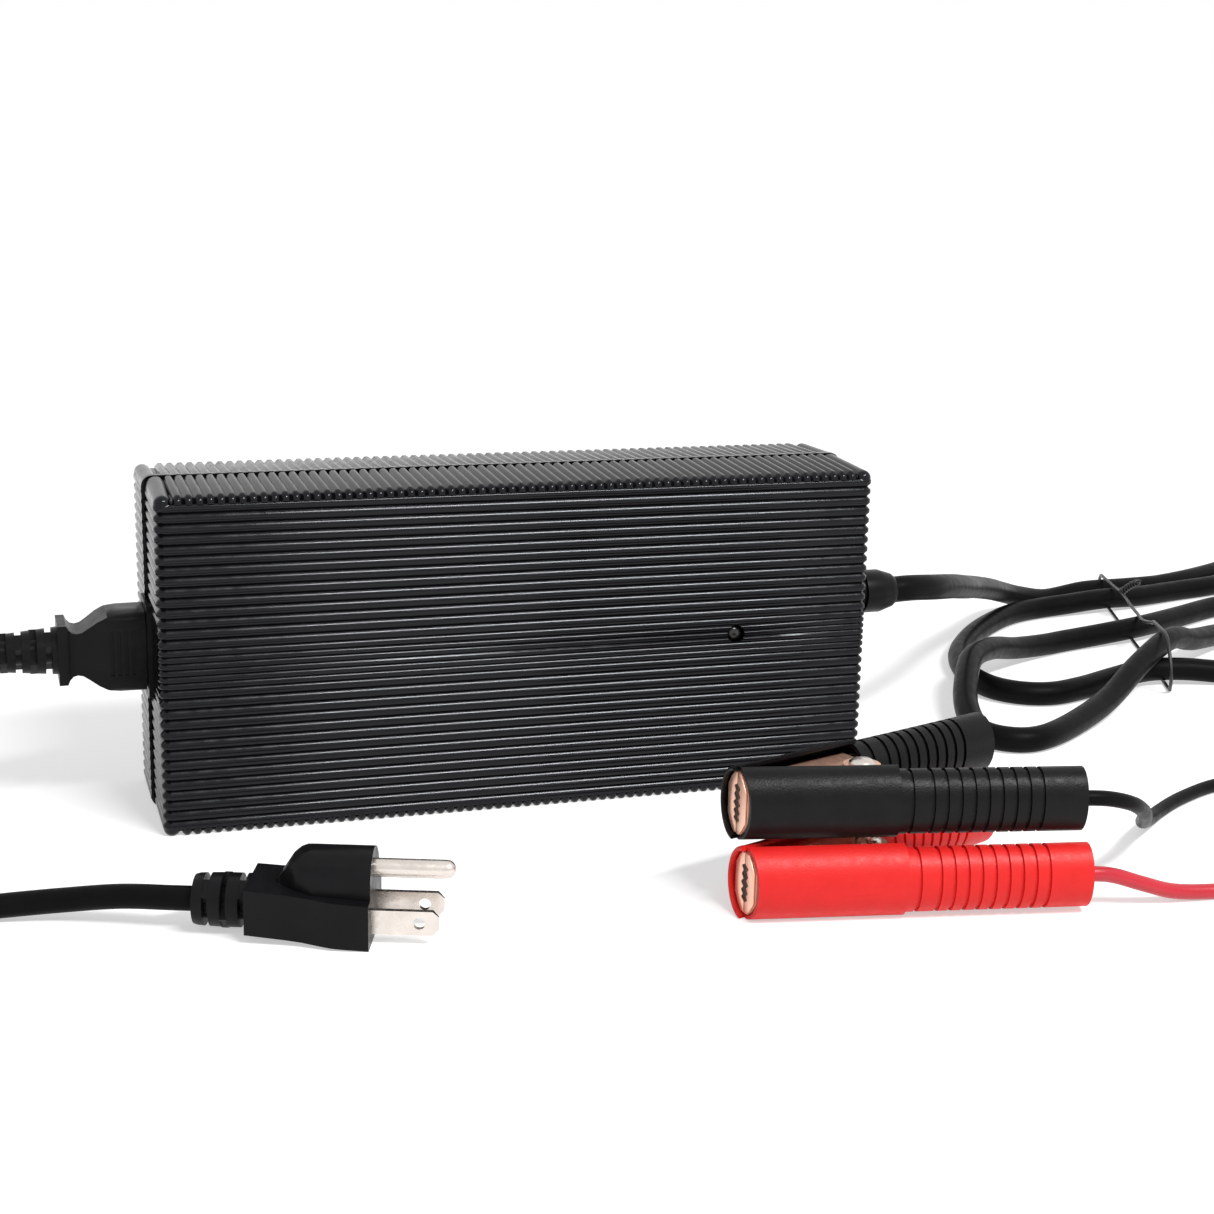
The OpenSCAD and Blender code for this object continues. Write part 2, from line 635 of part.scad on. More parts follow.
// strap round the four strands on the side next to the charger
module mains_coil_tie() {
    in = coil_at[0] + coil_r + coil_pitch / 2 - mains_d / 2 - 0.5;
    out = coil_at[0] + coil_r + 1.5 * coil_pitch + (coil_turns - 2) * coil_pitch + mains_d / 2 + 0.5;
    top = coil_top + mains_d / 2 + 0.3;
    color([0.08, 0.08, 0.08]) translate([0, coil_at[1], 0]) difference() {
        block([in - 1, -strap_w / 2, 0], [out + 1, strap_w / 2, top + 1]);
        block([in, -strap_w, strap_t], [out, strap_w, top]);
    }
}

// ---- connector ----
// half heights and half depths of the body, back from the shoulder
connector_side = [[0, 11.5], [7.5, 11.4], [10.5, 10.8], [13.3, 9.4], [15.8, 7.6], [17.6, 6.4], [19.1, 6.1],
    [20.3, 6.4], [21.3, 7.4], [21.9, 8.7], [connector_l, 8.7]];
connector_plan = [[0, 8.1], [10, 8], [16, 6.8], [19.3, 6.4], [21.3, 6.7], [21.9, 7.1], [connector_l, 7.1]];
grip_y = 7.55;        // bottom of the grip grooves
grip_z = 6.5;
function both_sides(p) = concat([for (q = p) [-q[0], q[1]]], [for (i = [len(p) - 1:-1:0]) [-p[i][0], -p[i][1]]]);
function round_rect(w, h, r, n) = [for (q = [0:3]) for (k = [0:n]) let (a = 90 * q + 90 * k / n)
    [(q == 0 || q == 3 ? w / 2 - r : r - w / 2) + r * cos(a), (q < 2 ? h / 2 - r : r - h / 2) + r * sin(a)]];
contact_wall = 0.6;
contact_gap = 0.1;
contact_lip = 1.2;
contact_end = mate_x + 0.6;
nose_x = mate_x + nose_l;

module connector_body() {
    sleeve = contact_gap + contact_wall;
    color(black) translate([0, 0, inlet_z]) difference() {
        union() {
            intersection() {
                translate([mate_x, 20, 0]) rotate([90, 0, 0]) linear_extrude(40) polygon(both_sides(connector_side));
                translate([mate_x, 0, -20]) linear_extrude(40) polygon(both_sides(connector_plan));
                along(mate_x - connector_l - 1, mate_x + 1) polygon(round_rect(16.6, 23.4, 3, 4));
            }
            along(mate_x - eps, nose_x)
                socket_outline(socket_l - 2 * nose_gap, socket_w - 2 * nose_gap, socket_chamfer);
        }
        for (p = blade_sites) {
            along(contact_end, nose_x - contact_lip)
                translate(p) square([blade_w + 2 * sleeve, blade_t + 2 * sleeve], center = true);
            along(nose_x - contact_lip - 1, nose_x + 1)
                translate(p) square([blade_w + 0.4, blade_t + 0.4], center = true);
        }
        for (s = [-1, 1]) for (k = [0:3])
            block([mate_x - 4 - 2 * k, s > 0 ? grip_y : -20, -grip_z], [mate_x - 3 - 2 * k, s > 0 ? 20 : -grip_y, grip_z]);
    }
}
module connector_contacts() {
    color(nickel) translate([0, 0, inlet_z]) for (p = blade_sites) difference() {
        along(contact_end, nose_x - contact_lip) translate(p)
            square([blade_w + 2 * (contact_gap + contact_wall), blade_t + 2 * (contact_gap + contact_wall)], center = true);
        along(contact_end + 1, nose_x) translate(p)
            square([blade_w + 2 * contact_gap, blade_t + 2 * contact_gap], center = true);
    }
}
relief_core = mains_d / 2 + 0.4;
// bend relief along -x from the origin: rings on a core, joined by bars that cross from slot to slot.
// radii at the start, middle and end, length, start, width, pitch and last index of the slots, bar width
module slotted_relief(head_r, mid_r, tail_r, l, from, slot, pitch, last, bar) {
    function radius(t) = t < l / 2 ? head_r + (mid_r - head_r) * 2 * t / l : mid_r + (tail_r - mid_r) * (2 * t / l - 1);
    rotate([0, -90, 0]) rotate_extrude() polygon(concat([[0, 0], [head_r, 0]],
        [for (i = [0:last]) let (t = from + pitch * i, e = t + slot)
            each [[radius(t), t], [relief_core, t], [relief_core, e], [radius(e), e]]],
        [[tail_r, l - 1], [tail_r - 0.3, l], [0, l]]));
    for (i = [0:last]) let (t = from + pitch * i, e = t + slot, r = radius(e) - 0.3)
        rotate([i % 2 == 0 ? 45 : -45, 0, 0]) block([-e - 0.2, -bar / 2, -r], [0.2 - t, bar / 2, r]);
}
module connector_strain_relief() {
    color(black) translate([mate_x - connector_l, 0, inlet_z])
        slotted_relief(6.9, 5.4, 4.5, connector_relief_l, 1.6, 1.8, 4.15, 6, 5);
}

// ---- plug ----
pin_root = 8;
pin_step = 0.3;       // the root is thinner than the pin
plug_plan = [[0, 0], [9, 0], [12, 0.6], [17, 1.8], [21, 2.2], [plug_l, 2.6]];   // back from the face, drawn in by
hump_r = 8.5;
hump_z = 8.7;
module plug_pose() {
    translate(plug_at) rotate([0, 0, plug_yaw]) children();
}
module plug_body() {
    color(black) plug_pose() difference() {
        union() {
            intersection() {
                translate([0, 20, 0]) rotate([90, 0, 0]) linear_extrude(40)
                    polygon([[0, -6], [0, 6], [-plug_l, 8.3], [-plug_l, -3.5]]);
                translate([0, 0, -20]) linear_extrude(40)
                    polygon(both_sides([for (q = plug_plan) [q[0], plug_w / 2 - q[1]]]));
                along(-plug_l - 1, 1) translate([0, 1]) polygon(round_rect(plug_w + 0.4, 15.2, 2.2, 3));
            }
            intersection() {
                along(-30, 0) polygon(concat([[hump_r, -2]], [for (a = [0:15:180]) [hump_r * cos(a), hump_z + hump_r * sin(a)]],
                    [[-hump_r, -2]]));
                translate([0, 0, -20]) linear_extrude(60)
                    polygon(both_sides([[0, 9], [13.6, 9], [16, 7.8], [20, 5.6], [23.4, 2.6], [24.6, 0.6]]));
                translate([0, 20, 0]) rotate([90, 0, 0]) linear_extrude(40)
                    polygon([[0, -4], [0, 18], [-12, 18], [-17, 16.4], [-21, 13.6], [-24.4, 8.6], [-24.4, -4]]);
            }
        }
        for (s = [-1, 1]) block([-pin_root, s * plug_pitch / 2 - plug_blade_t / 2, -plug_blade_h / 2],
                                [1, s * plug_pitch / 2 + plug_blade_t / 2, plug_blade_h / 2]);
        translate([-pin_root, 0, plug_pin_up]) rotate([0, 90, 0]) cylinder(h = pin_root + 1, r = plug_pin_d / 2 - pin_step);
    }
}
module plug_blades() {
    color(nickel) plug_pose() for (s = [-1, 1]) translate([0, s * plug_pitch / 2, 0]) intersection() {
        translate([0, 10, 0]) rotate([90, 0, 0]) linear_extrude(20) difference() {
            polygon([[-pin_root, -plug_blade_h / 2], [plug_blade_l - 1.6, -plug_blade_h / 2], [plug_blade_l, 1.6 - plug_blade_h / 2],
                [plug_blade_l, plug_blade_h / 2 - 1.6], [plug_blade_l - 1.6, plug_blade_h / 2], [-pin_root, plug_blade_h / 2]]);
            translate([plug_blade_l - 5, 0]) circle(r = 1.55);
        }
        translate([0, 0, -10]) linear_extrude(20) polygon([[-pin_root, -plug_blade_t / 2], [plug_blade_l - 1.5, -plug_blade_t / 2],
            [plug_blade_l, -0.25], [plug_blade_l, 0.25], [plug_blade_l - 1.5, plug_blade_t / 2], [-pin_root, plug_blade_t / 2]]);
    }
}
module plug_ground_pin() {
    r = plug_pin_d / 2;
    color(nickel) plug_pose() translate([0, 0, plug_pin_up]) rotate([0, 90, 0]) rotate_extrude() polygon(concat(
        [[0, -pin_root], [r - pin_step, -pin_root], [r - pin_step, 0], [r, 0]], [for (a = [0:15:75]) [r * cos(a), plug_pin_l - r + r * sin(a)]], [[0, plug_pin_l]]));
}
module plug_strain_relief() {
    color(black) plug_pose() translate([-plug_l, 0, plug_relief_z])
        slotted_relief(6.9, 6.9, 6.6, plug_relief_l, 0.6, 1.5, 4.6, 2, 5);
}

// ---- output lead ----
lie = output_d / 2;
tied = lie + 1.5;       // strands lie on the wire tie here
over = 2 * lie + lie + 0.8;
split_at = [330, -35, lie];
split_yaw = 210;
out_lead = [
    [relief_end, 0, exit_z], [136, 1, exit_z], [148, 8, 52], [163, 25, 47.5], [180, 48, 41], [204, 85, 31],
    [227, 115, 22], [248, 143, 13], [263, 155, 7.6], [279, 161, lie]];
out_hank = [
    [300, 165, tied], [320, 168, lie + 1], [342, 174, lie], [361, 181, lie], [380, 190, lie], [402, 202, lie], [426, 205, lie],
    [446, 189, lie], [454, 160, lie], [446, 129, lie], [425, 106, lie], [395, 96, lie], [365, 98, lie],
    [336, 97, lie], [311, 85, 6], [289, 68, 10], [275, 57.5, over + 0.8], [262, 47, over + 1.6], [243, 32, 11.9], [222, 15, 6.5],
    [202, 0, lie + 0.3], [184, -12, lie], [173, -15, lie], [165, -10, lie], [163, 0, lie + 0.3], [167, 16, 7.5],
    [176, 34, 11.5], [187, 51, over + 0.3], [203, 67, 12], [221, 82, 7], [239, 92, lie + 0.3], [256, 98, lie],
    [273, 101, lie + 0.8], [290, 105, tied], [316, 119, lie + 0.4], [342, 132, lie], [366, 138, lie], [390, 136, lie],
    [410, 140, lie], [423, 152, lie], [423, 168, lie], [411, 180, lie], [394, 180, lie], [378, 172, lie],
    [361, 166, lie], [340, 161, lie], [318, 154, lie + 0.6], [299, 150, tied], [281, 148, lie + 0.6], [266, 146, lie],
    [251, 140, lie], [235, 128, lie], [218, 111, lie], [203, 91, lie], [195, 74, lie], [191, 58, lie],
    [192, 44, lie], [199, 35, lie], [210, 32, lie], [224, 36, lie], [241, 43, lie + 0.4], [257, 47, lie + 1.4],
    [271, 45, tied], [286, 41, lie + 0.5]];
out_tail = [[305, 36, lie], [330, 34, lie], [351, 23, lie], [360, 1, lie], [352, -20, lie],
    split_at + [0.866 * 8, 0.5 * 8, 0], split_at];
out_points = concat(out_lead, out_hank, out_tail);
out_path = smooth(out_points, 2, lie);
hank_from = 2 * (len(out_lead) - 1);
hank_to = 2 * (len(out_lead) + len(out_hank) - 1);
module output_cable_lead() {
    color(black) tube(out_path, output_d, 8, 0, hank_from);
}
module output_cable_hank() {
    echo(hank_gap = self_gap(smooth(out_points, 6, lie), output_d, 18));
    color(black) tube(out_path, output_d, 6, hank_from, hank_to);
}
module output_cable_tail() {
    color(black) tube(out_path, output_d, 8, hank_to, len(out_path) - 1);
}
// wire under and over the strands of the hank, its ends twisted together on top
wire = tie_d / 2;
wire_top = tied + lie + wire + 0.3;
tie_path = [
    [301, 138, wire_top + 3], [302, 141, wire_top], [305, 152, wire_top], [309, 166, wire_top + 0.2], [312, 173, wire_top - 1], [314, 177, 6],
    [314, 178, 3], [313, 175, wire], [300, 140, wire], [287, 106, wire], [274, 71, wire], [262, 40, wire], [259, 34, 2.4],
    [257, 31, 8], [258, 35, 16], [260, 41, 20.4], [264, 52, 20.4], [268, 62, 19.6], [274, 72, 16.5], [280, 88, 13], [288, 104, wire_top],
    [294, 120, wire_top], [300, 135, wire_top], [302.8, 137, wire_top + 3]];
module output_cable_tie() {
    color([0.1, 0.1, 0.1]) tube(tie_path, tie_d, 6, 0, len(tie_path) - 1);
}
split_l = 26;
lead_apart = 3;
lead_out_z = 3.4;
function split_point(x, y, z) = [split_at[0] + x * cos(split_yaw) - y * sin(split_yaw),
    split_at[1] + x * sin(split_yaw) + y * cos(split_yaw), z];
module cable_splitter() {
    color(black) translate([split_at[0], split_at[1], 0]) rotate([0, 0, split_yaw]) intersection() {
        linear_extrude(30) polygon([[0, -5.2], [6, -5.6], [14, -7], [split_l, -6.4], [split_l, 6.4], [14, 7], [6, 5.6], [0, 5.2]]);
        translate([0, 20, 0]) rotate([90, 0, 0]) linear_extrude(40)
            polygon([[0, 0], [split_l, 0], [split_l, 6.6], [16, 9.4], [4, 9.8], [0, 9.6]]);
        translate([0, 0, 4.9]) along(-1, split_l + 1) polygon(round_rect(14, 9.8, 2.5, 3));
    }
}

// ---- clamps ----
// pivot x, y, direction of the closed jaws' middle line, middle height
stack_gap = 0.3;
black_site = [67, -115.2, 4.4, 1.5 * clamp_h + stack_gap];
red_site = [67.8, -119.9, 5.6, clamp_h / 2];
pivot_x = jaw_reach * cos(spread / 2);
pivot_y = -jaw_reach * sin(spread / 2);
closed_gap = 0.3;
sleeve_r = clamp_h / 2;
handle_a = handle_w / 2;
handle_r = handle_h / 2;
collar = 1.2;         // shoulder between the jaw sleeve and the handle
handle_y = 1;
jaw_a = handle_a + 1;
jaw_l = jaw_reach + 4;
join_x = jaw_l + 0.5;
handle_wall = sleeve_wall + 0.2;
end_wall = 1.2;
ring_w = 1.1;
ring_deep = 0.7;
ring_from = join_x + 9;
ring_pitch = (clamp_l - ring_from - 9) / ring_count;
fixed_h = 6.9;
ear_gap = 0.2;
moving_h = fixed_h - jaw_t - ear_gap;
web_y = 5.3;
tip_h = sleeve_r - 1.5;        // half height of the jaws' end plates
ear_r = 5;
rivet_fit = 0.05;
rivet_head_r = 3.5;
rivet_head_h = 1.5;
spring_r = -pivot_y - 3.7;     // its legs enter the handles this far inside their middle line
spring_pitch = 1.6;
crimp_x = 60;
crimp_l = 10;
crimp_r = 3;
crimp_deep = 8;
lead_x = crimp_x + crimp_l - crimp_deep;
tail_hole = 0.4;
function tip(s) = [s[0] - jaw_reach * cos(s[2]), s[1] - jaw_reach * sin(s[2]), s[3]];
module front_half(s) {
    translate(tip(s)) rotate([0, 0, s[2] - spread / 2]) mirror([0, 1, 0]) children();
}
module rear_half(s) {
    translate(tip(s)) rotate([0, 0, s[2] + spread / 2]) children();
}
// place in the fixed half, x back from the tips and y outwards
function fixed_point(s, x, y) = let (a = s[2] - spread / 2) tip(s) + [x * cos(a) + y * sin(a), x * sin(a) - y * cos(a), 0];
function pivot_point(x, y, side) = let (a = side * spread / 2, u = x - pivot_x, v = side * (y - pivot_y))
    [u * cos(a) - v * sin(a), u * sin(a) + v * cos(a)];
module oval(a, b) {
    polygon([for (k = [0:23]) [a * cos(15 * k + 7.5), b * sin(15 * k + 7.5)]]);
}
module handle_oval(in) {
    translate([handle_y, 0]) oval(handle_a - in, handle_r - in);
}
module clamp_sleeve() {
    difference() {
        union() {
            intersection() {
                along(-1, join_x + collar) oval(jaw_a, sleeve_r);
                block([-1, closed_gap / 2, -far], [far, far, far]);
            }
            along(join_x, clamp_l) handle_oval(0);
        }
        end_cut();
        along(-2, join_x) oval(jaw_a - sleeve_wall, sleeve_r - sleeve_wall);
        along(join_x - 0.2, clamp_l - end_wall) handle_oval(handle_wall);
        for (x = concat([join_x + 3.5], [for (k = [0:ring_count - 1]) ring_from + k * ring_pitch]))
            along(x, x + ring_w) difference() {
                handle_oval(-1);
                handle_oval(ring_deep);
            }
        translate([clamp_l - 5, handle_y, 0]) rotate([0, 90, 0]) cylinder(h = 10, r = lead_d / 2 + tail_hole);
    }
}
// the open end is square to the closed clamp's middle line, not to its own half
module end_cut() {
    rotate([0, 0, -spread / 2]) block([-20, -far, -far], [0, far, far]);
}
module channel(h, t) {
    polygon([[0.3, h], [3.3, h], [web_y, h - 2.7], [web_y, 2.7 - h], [3.3, -h], [0.3, -h], [0.3, t - h], [3.3 - t / 2, t - h],
        [web_y - t, 2.7 + t / 2 - h], [web_y - t, h - 2.7 - t / 2], [3.3 - t / 2, h - t], [0.3, h - t]]);
}
module clamp_jaw(h, hole) {
    nose = closed_gap / 2;
    difference() {
        union() {
            along(-1, jaw_l) channel(h, jaw_t);
            rotate([0, 0, -spread / 2]) along(-1, jaw_t) polygon([
                [nose, -tip_h], [nose, -2.6], [0.9, -1.75], [nose, -0.9], [0.9, 0], [nose, 0.9], [0.9, 1.75],
                [nose, 2.6], [nose, tip_h], [1.6, tip_h], [3.3, fixed_h], [web_y, fixed_h - 2.7],
                [web_y, 2.7 - fixed_h], [3.3, -fixed_h], [1.6, -tip_h]]);
        }
        end_cut();
    }
    block([jaw_l - 1, web_y - jaw_t, -4], [crimp_x + 2, web_y, 4]);
    for (z = [-h, h - jaw_t]) translate([0, 0, z]) linear_extrude(jaw_t) difference() {
        union() {
            polygon([[22, 1.5], [pivot_x - 4.6, pivot_y + 1.8], [pivot_x + 4.6, pivot_y + 1.8], [jaw_l, 0.3], [jaw_l, 1.5]]);
            translate([pivot_x, pivot_y]) circle(r = ear_r);
        }
        translate([pivot_x, pivot_y]) circle(r = hole);
    }
}
module clamp_rivet(s) {
    color(nickel) translate([s[0], s[1], s[3]]) {
        translate([0, 0, -fixed_h]) cylinder(h = 2 * fixed_h, r = rivet_d / 2);
        for (m = [0, 1]) mirror([0, 0, m]) translate([0, 0, fixed_h]) rotate_extrude()
            polygon([[0, 0], [rivet_head_r, 0], [rivet_head_r, 0.5], [rivet_head_r - 0.8, 1.2], [rivet_head_r - 2, rivet_head_h], [0, rivet_head_h]]);
    }
}
spring_turn = 360 * 3 + 360 - 2 * (90 + spread / 2);
spring_top = spring_pitch * spring_turn / 720;
leg_end = 58;
leg_y = -1.6;
module clamp_spring(s) {
    n = 54;
    far_end = pivot_point(leg_end, leg_y, -1);
    path = concat([[far_end[0], far_end[1], -spring_top]],
        [for (k = [0:n]) let (a = -90 - spread / 2 - spring_turn * k / n)
            [spring_r * cos(a), spring_r * sin(a), spring_top * (2 * k / n - 1)]]);
    color(nickel) translate([s[0], s[1], s[3]]) rotate([0, 0, s[2]]) tube(path, spring_wire, 6, 0, len(path) - 1);
}
module clamp_spring_leg(s) {
    a = 90 + spread / 2;
    far_end = pivot_point(leg_end, leg_y, 1);
    color(nickel) translate([s[0], s[1], s[3]]) rotate([0, 0, s[2]])
        rod([spring_r * cos(a) + 0.3, spring_r * sin(a), spring_top], [far_end[0], far_end[1], spring_top], spring_wire / 2, spring_wire / 2);
}
module lead_crimp() {
    color(copper) difference() {
        union() {
            translate([crimp_x, handle_y, 0]) rotate([0, 90, 0]) cylinder(h = crimp_l, r = crimp_r);
            block([crimp_x, handle_y + 2, -2], [crimp_x + 2, web_y - jaw_t, 2]);
        }
        translate([lead_x, handle_y, 0]) rotate([0, 90, 0]) cylinder(h = crimp_l, r = lead_d / 2 + 0.1);
    }
}
module black_clamp_fixed_jaw() color(copper) front_half(black_site) clamp_jaw(fixed_h, rivet_d / 2);
module black_clamp_fixed_sleeve() color(black) front_half(black_site) clamp_sleeve();
module black_clamp_moving_jaw() color(copper) rear_half(black_site) clamp_jaw(moving_h, rivet_d / 2 + rivet_fit);
module black_clamp_moving_sleeve() color(black) rear_half(black_site) clamp_sleeve();
module black_clamp_rivet() clamp_rivet(black_site);
module black_clamp_spring() clamp_spring(black_site);
module black_clamp_spring_leg() clamp_spring_leg(black_site);
module black_clamp_crimp() front_half(black_site) lead_crimp();
module red_clamp_fixed_jaw() color(copper) front_half(red_site) clamp_jaw(fixed_h, rivet_d / 2);
module red_clamp_fixed_sleeve() color(red) front_half(red_site) clamp_sleeve();
module red_clamp_moving_jaw() color(copper) rear_half(red_site) clamp_jaw(moving_h, rivet_d / 2 + rivet_fit);
module red_clamp_moving_sleeve() color(red) rear_half(red_site) clamp_sleeve();
module red_clamp_rivet() clamp_rivet(red_site);
module red_clamp_spring() clamp_spring(red_site);
module red_clamp_spring_leg() clamp_spring_leg(red_site);
module red_clamp_crimp() front_half(red_site) lead_crimp();

lead_low = lead_d / 2;
black_points = [
    fixed_point(black_site, lead_x, handle_y), fixed_point(black_site, 78, handle_y), fixed_point(black_site, clamp_l + 1, handle_y),
    [129.5, -137.2, 29.2], [138, -134.5, 26.2], [147, -126, 20.5], [155, -115, 14], [163, -102, 7.5], [172, -91, 3.4],
    [183, -81, lead_low], [197, -72, lead_low], [213, -65, lead_low], [236, -61, lead_low], [262, -60, lead_low], [284, -56, 2.3],
    split_point(split_l + 7, -lead_apart, 2.9), split_point(split_l, -lead_apart, lead_out_z)];
red_points = [
    fixed_point(red_site, lead_x, handle_y), fixed_point(red_site, 78, handle_y), fixed_point(red_site, clamp_l + 1, handle_y),
    [130, -140.8, 8.9], [138, -141.8, 6.3], [147, -142, 3.4], [156, -142.4, 2.3], [167, -143, lead_low], [182, -142.6, lead_low],
    [201, -139, lead_low], [222, -130, lead_low], [243, -114, lead_low], [262, -94, lead_low], [281, -73, 2.3],
    split_point(split_l + 7, lead_apart, 2.9), split_point(split_l, lead_apart, lead_out_z)];
module black_lead() color(black) tube(smooth(black_points, 2, lead_low), lead_d, 8, 0, 2 * (len(black_points) - 1));
module red_lead() color(red) tube(smooth(red_points, 2, lead_low), lead_d, 8, 0, 2 * (len(red_points) - 1));

front_cover();
rear_cover();
cover_screws();
mains_inlet();
inlet_blades();
inlet_wires();
circuit_board();
board_screws();
insulation_sheet();
input_fuse();
x_capacitor();
emi_choke();
bridge_rectifier();
bulk_capacitors();
primary_heat_sink();
power_transistors();
transformer_core();
transformer_winding();
secondary_heat_sink();
output_rectifiers();
output_inductor();
output_capacitors();
indicator_led();
led_wires();
output_wires();
output_strain_relief();
output_cable_lead();
output_cable_hank();
output_cable_tail();
output_cable_tie();
cable_splitter();
black_lead();
red_lead();
connector_body();
connector_contacts();
connector_strain_relief();
mains_cord_connector_end();
mains_cord_coil();
mains_cord_plug_end();
mains_coil_tie();
plug_body();
plug_blades();
plug_ground_pin();
plug_strain_relief();
black_clamp_fixed_jaw();
black_clamp_fixed_sleeve();
black_clamp_moving_jaw();
black_clamp_moving_sleeve();
black_clamp_rivet();
black_clamp_spring();
black_clamp_spring_leg();
black_clamp_crimp();
red_clamp_fixed_jaw();
red_clamp_fixed_sleeve();
red_clamp_moving_jaw();
red_clamp_moving_sleeve();
red_clamp_rivet();
red_clamp_spring();
red_clamp_spring_leg();
red_clamp_crimp();
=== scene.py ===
import math

import bmesh
import bpy
from mathutils import Matrix, Vector


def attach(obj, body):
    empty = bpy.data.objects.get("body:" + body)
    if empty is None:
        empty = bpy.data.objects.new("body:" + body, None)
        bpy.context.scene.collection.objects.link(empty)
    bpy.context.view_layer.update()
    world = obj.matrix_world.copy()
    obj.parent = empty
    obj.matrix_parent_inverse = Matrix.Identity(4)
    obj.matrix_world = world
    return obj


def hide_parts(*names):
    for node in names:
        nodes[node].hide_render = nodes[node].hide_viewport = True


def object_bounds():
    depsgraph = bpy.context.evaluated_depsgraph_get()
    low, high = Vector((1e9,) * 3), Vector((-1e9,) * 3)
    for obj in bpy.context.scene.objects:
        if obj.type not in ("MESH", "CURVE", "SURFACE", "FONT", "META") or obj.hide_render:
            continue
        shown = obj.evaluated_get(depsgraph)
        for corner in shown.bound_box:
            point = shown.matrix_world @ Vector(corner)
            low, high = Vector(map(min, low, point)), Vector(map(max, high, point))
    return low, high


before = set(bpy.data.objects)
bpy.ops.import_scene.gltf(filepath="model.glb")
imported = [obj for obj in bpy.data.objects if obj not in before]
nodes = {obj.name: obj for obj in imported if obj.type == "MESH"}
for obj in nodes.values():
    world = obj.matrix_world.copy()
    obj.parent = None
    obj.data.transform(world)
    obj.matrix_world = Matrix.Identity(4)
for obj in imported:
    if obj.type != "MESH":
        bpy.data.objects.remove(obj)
cad_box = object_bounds()
MM = 0.001                              # lengths and routes below are in mm


# ---------------------------------------------------------------- camera
SENSOR_W = 36                           # mm
NEAREST, FARTHEST = 0.01, 20            # clipping, in metres


def look_from(place, yaw, pitch, roll, focal):
    """Camera at a place in mm, turned by yaw from +Y, pitched down and rolled, in degrees."""
    y, p, r = (math.radians(a) for a in (yaw, pitch, roll))
    ahead = Vector((math.sin(y) * math.cos(p), math.cos(y) * math.cos(p), -math.sin(p)))
    level = Vector((math.cos(y), -math.sin(y), 0))
    above = level.cross(ahead)
    right = math.cos(r) * level + math.sin(r) * above
    up = -math.sin(r) * level + math.cos(r) * above
    data = bpy.data.cameras.new("camera")
    data.sensor_width = SENSOR_W
    data.lens = focal
    data.clip_start = NEAREST
    data.clip_end = FARTHEST
    cam = bpy.data.objects.new("camera", data)
    bpy.context.scene.collection.objects.link(cam)
    turn = Matrix((right, up, -ahead)).transposed().to_4x4()
    cam.matrix_world = Matrix.Translation(Vector(place) * MM) @ turn
    bpy.context.scene.camera = cam


look_from((-155.74, -586.0, 207.07), 17.759, 14.016, 1.255, 60.613)


# ---------------------------------------------------------------- materials
NOISE_DETAIL = 2.0
RAMP_FROM, RAMP_TO = 0.3, 0.7           # range of the noise that a ramp spreads
ROUGH_FINER = 3                         # how much finer the roughness varies than the tone


class Shader:
    """Builds one node material on the Principled shader."""

    def __init__(self, name, color, rough, metal=0.0, **sockets):
        self.mat = bpy.data.materials.new(name)
        self.mat.use_nodes = True
        self.tree = self.mat.node_tree
        self.bsdf = self.tree.nodes["Principled BSDF"]
        self.coord = self.tree.nodes.new("ShaderNodeTexCoord")
        self.color = color
        self.rough = rough
        self.bsdf.inputs["Base Color"].default_value = (*color, 1)
        self.bsdf.inputs["Roughness"].default_value = rough
        self.bsdf.inputs["Metallic"].default_value = metal
        for key, value in sockets.items():
            self.bsdf.inputs[key.replace("_", " ")].default_value = value

    def noise(self, scale):
        """Noise on the object's own coordinates; scale is in spots per metre."""
        tex = self.tree.nodes.new("ShaderNodeTexNoise")
        tex.inputs["Scale"].default_value = scale
        tex.inputs["Detail"].default_value = NOISE_DETAIL
        self.tree.links.new(self.coord.outputs["Object"], tex.inputs["Vector"])
        return tex.outputs["Fac"]

    def ramp(self, fac, low, high):
        """Spread the noise's middle range from low to high."""
        node = self.tree.nodes.new("ShaderNodeMapRange")
        node.inputs["From Min"].default_value = RAMP_FROM
        node.inputs["From Max"].default_value = RAMP_TO
        node.inputs["To Min"].default_value = low
        node.inputs["To Max"].default_value = high
        self.tree.links.new(fac, node.inputs["Value"])
        return node.outputs["Result"]

    def vary_rough(self, scale, spread):
        out = self.ramp(self.noise(scale), self.rough - spread, self.rough + spread)
        self.tree.links.new(out, self.bsdf.inputs["Roughness"])
        return self

    def vary_color(self, scale, other):
        mix = self.tree.nodes.new("ShaderNodeMix")
        mix.data_type = "RGBA"
        mix.inputs["A"].default_value = (*self.color, 1)
        mix.inputs["B"].default_value = (*other, 1)
        self.tree.links.new(self.ramp(self.noise(scale), 0, 1), mix.inputs["Factor"])
        self.tree.links.new(mix.outputs["Result"], self.bsdf.inputs["Base Color"])
        return self

    def grain(self, scale, depth):
        """Fine relief; depth is in metres."""
        node = self.tree.nodes.new("ShaderNodeBump")
        node.inputs["Distance"].default_value = depth
        node.inputs["Strength"].default_value = 1.0
        self.tree.links.new(self.noise(scale), node.inputs["Height"])
        self.tree.links.new(node.outputs["Normal"], self.bsdf.inputs["Normal"])
        return self


def shade(name, color, rough, other, tone=90, spread=0.06, grain=2200, depth=0.00003, metal=0.0,
          **sockets):
    """Material whose colour varies towards other, with uneven roughness and a fine grain."""
    s = Shader(name, color, rough, metal, **sockets)
    s.vary_color(tone, other).vary_rough(tone * ROUGH_FINER, spread).grain(grain, depth)
    return s.mat


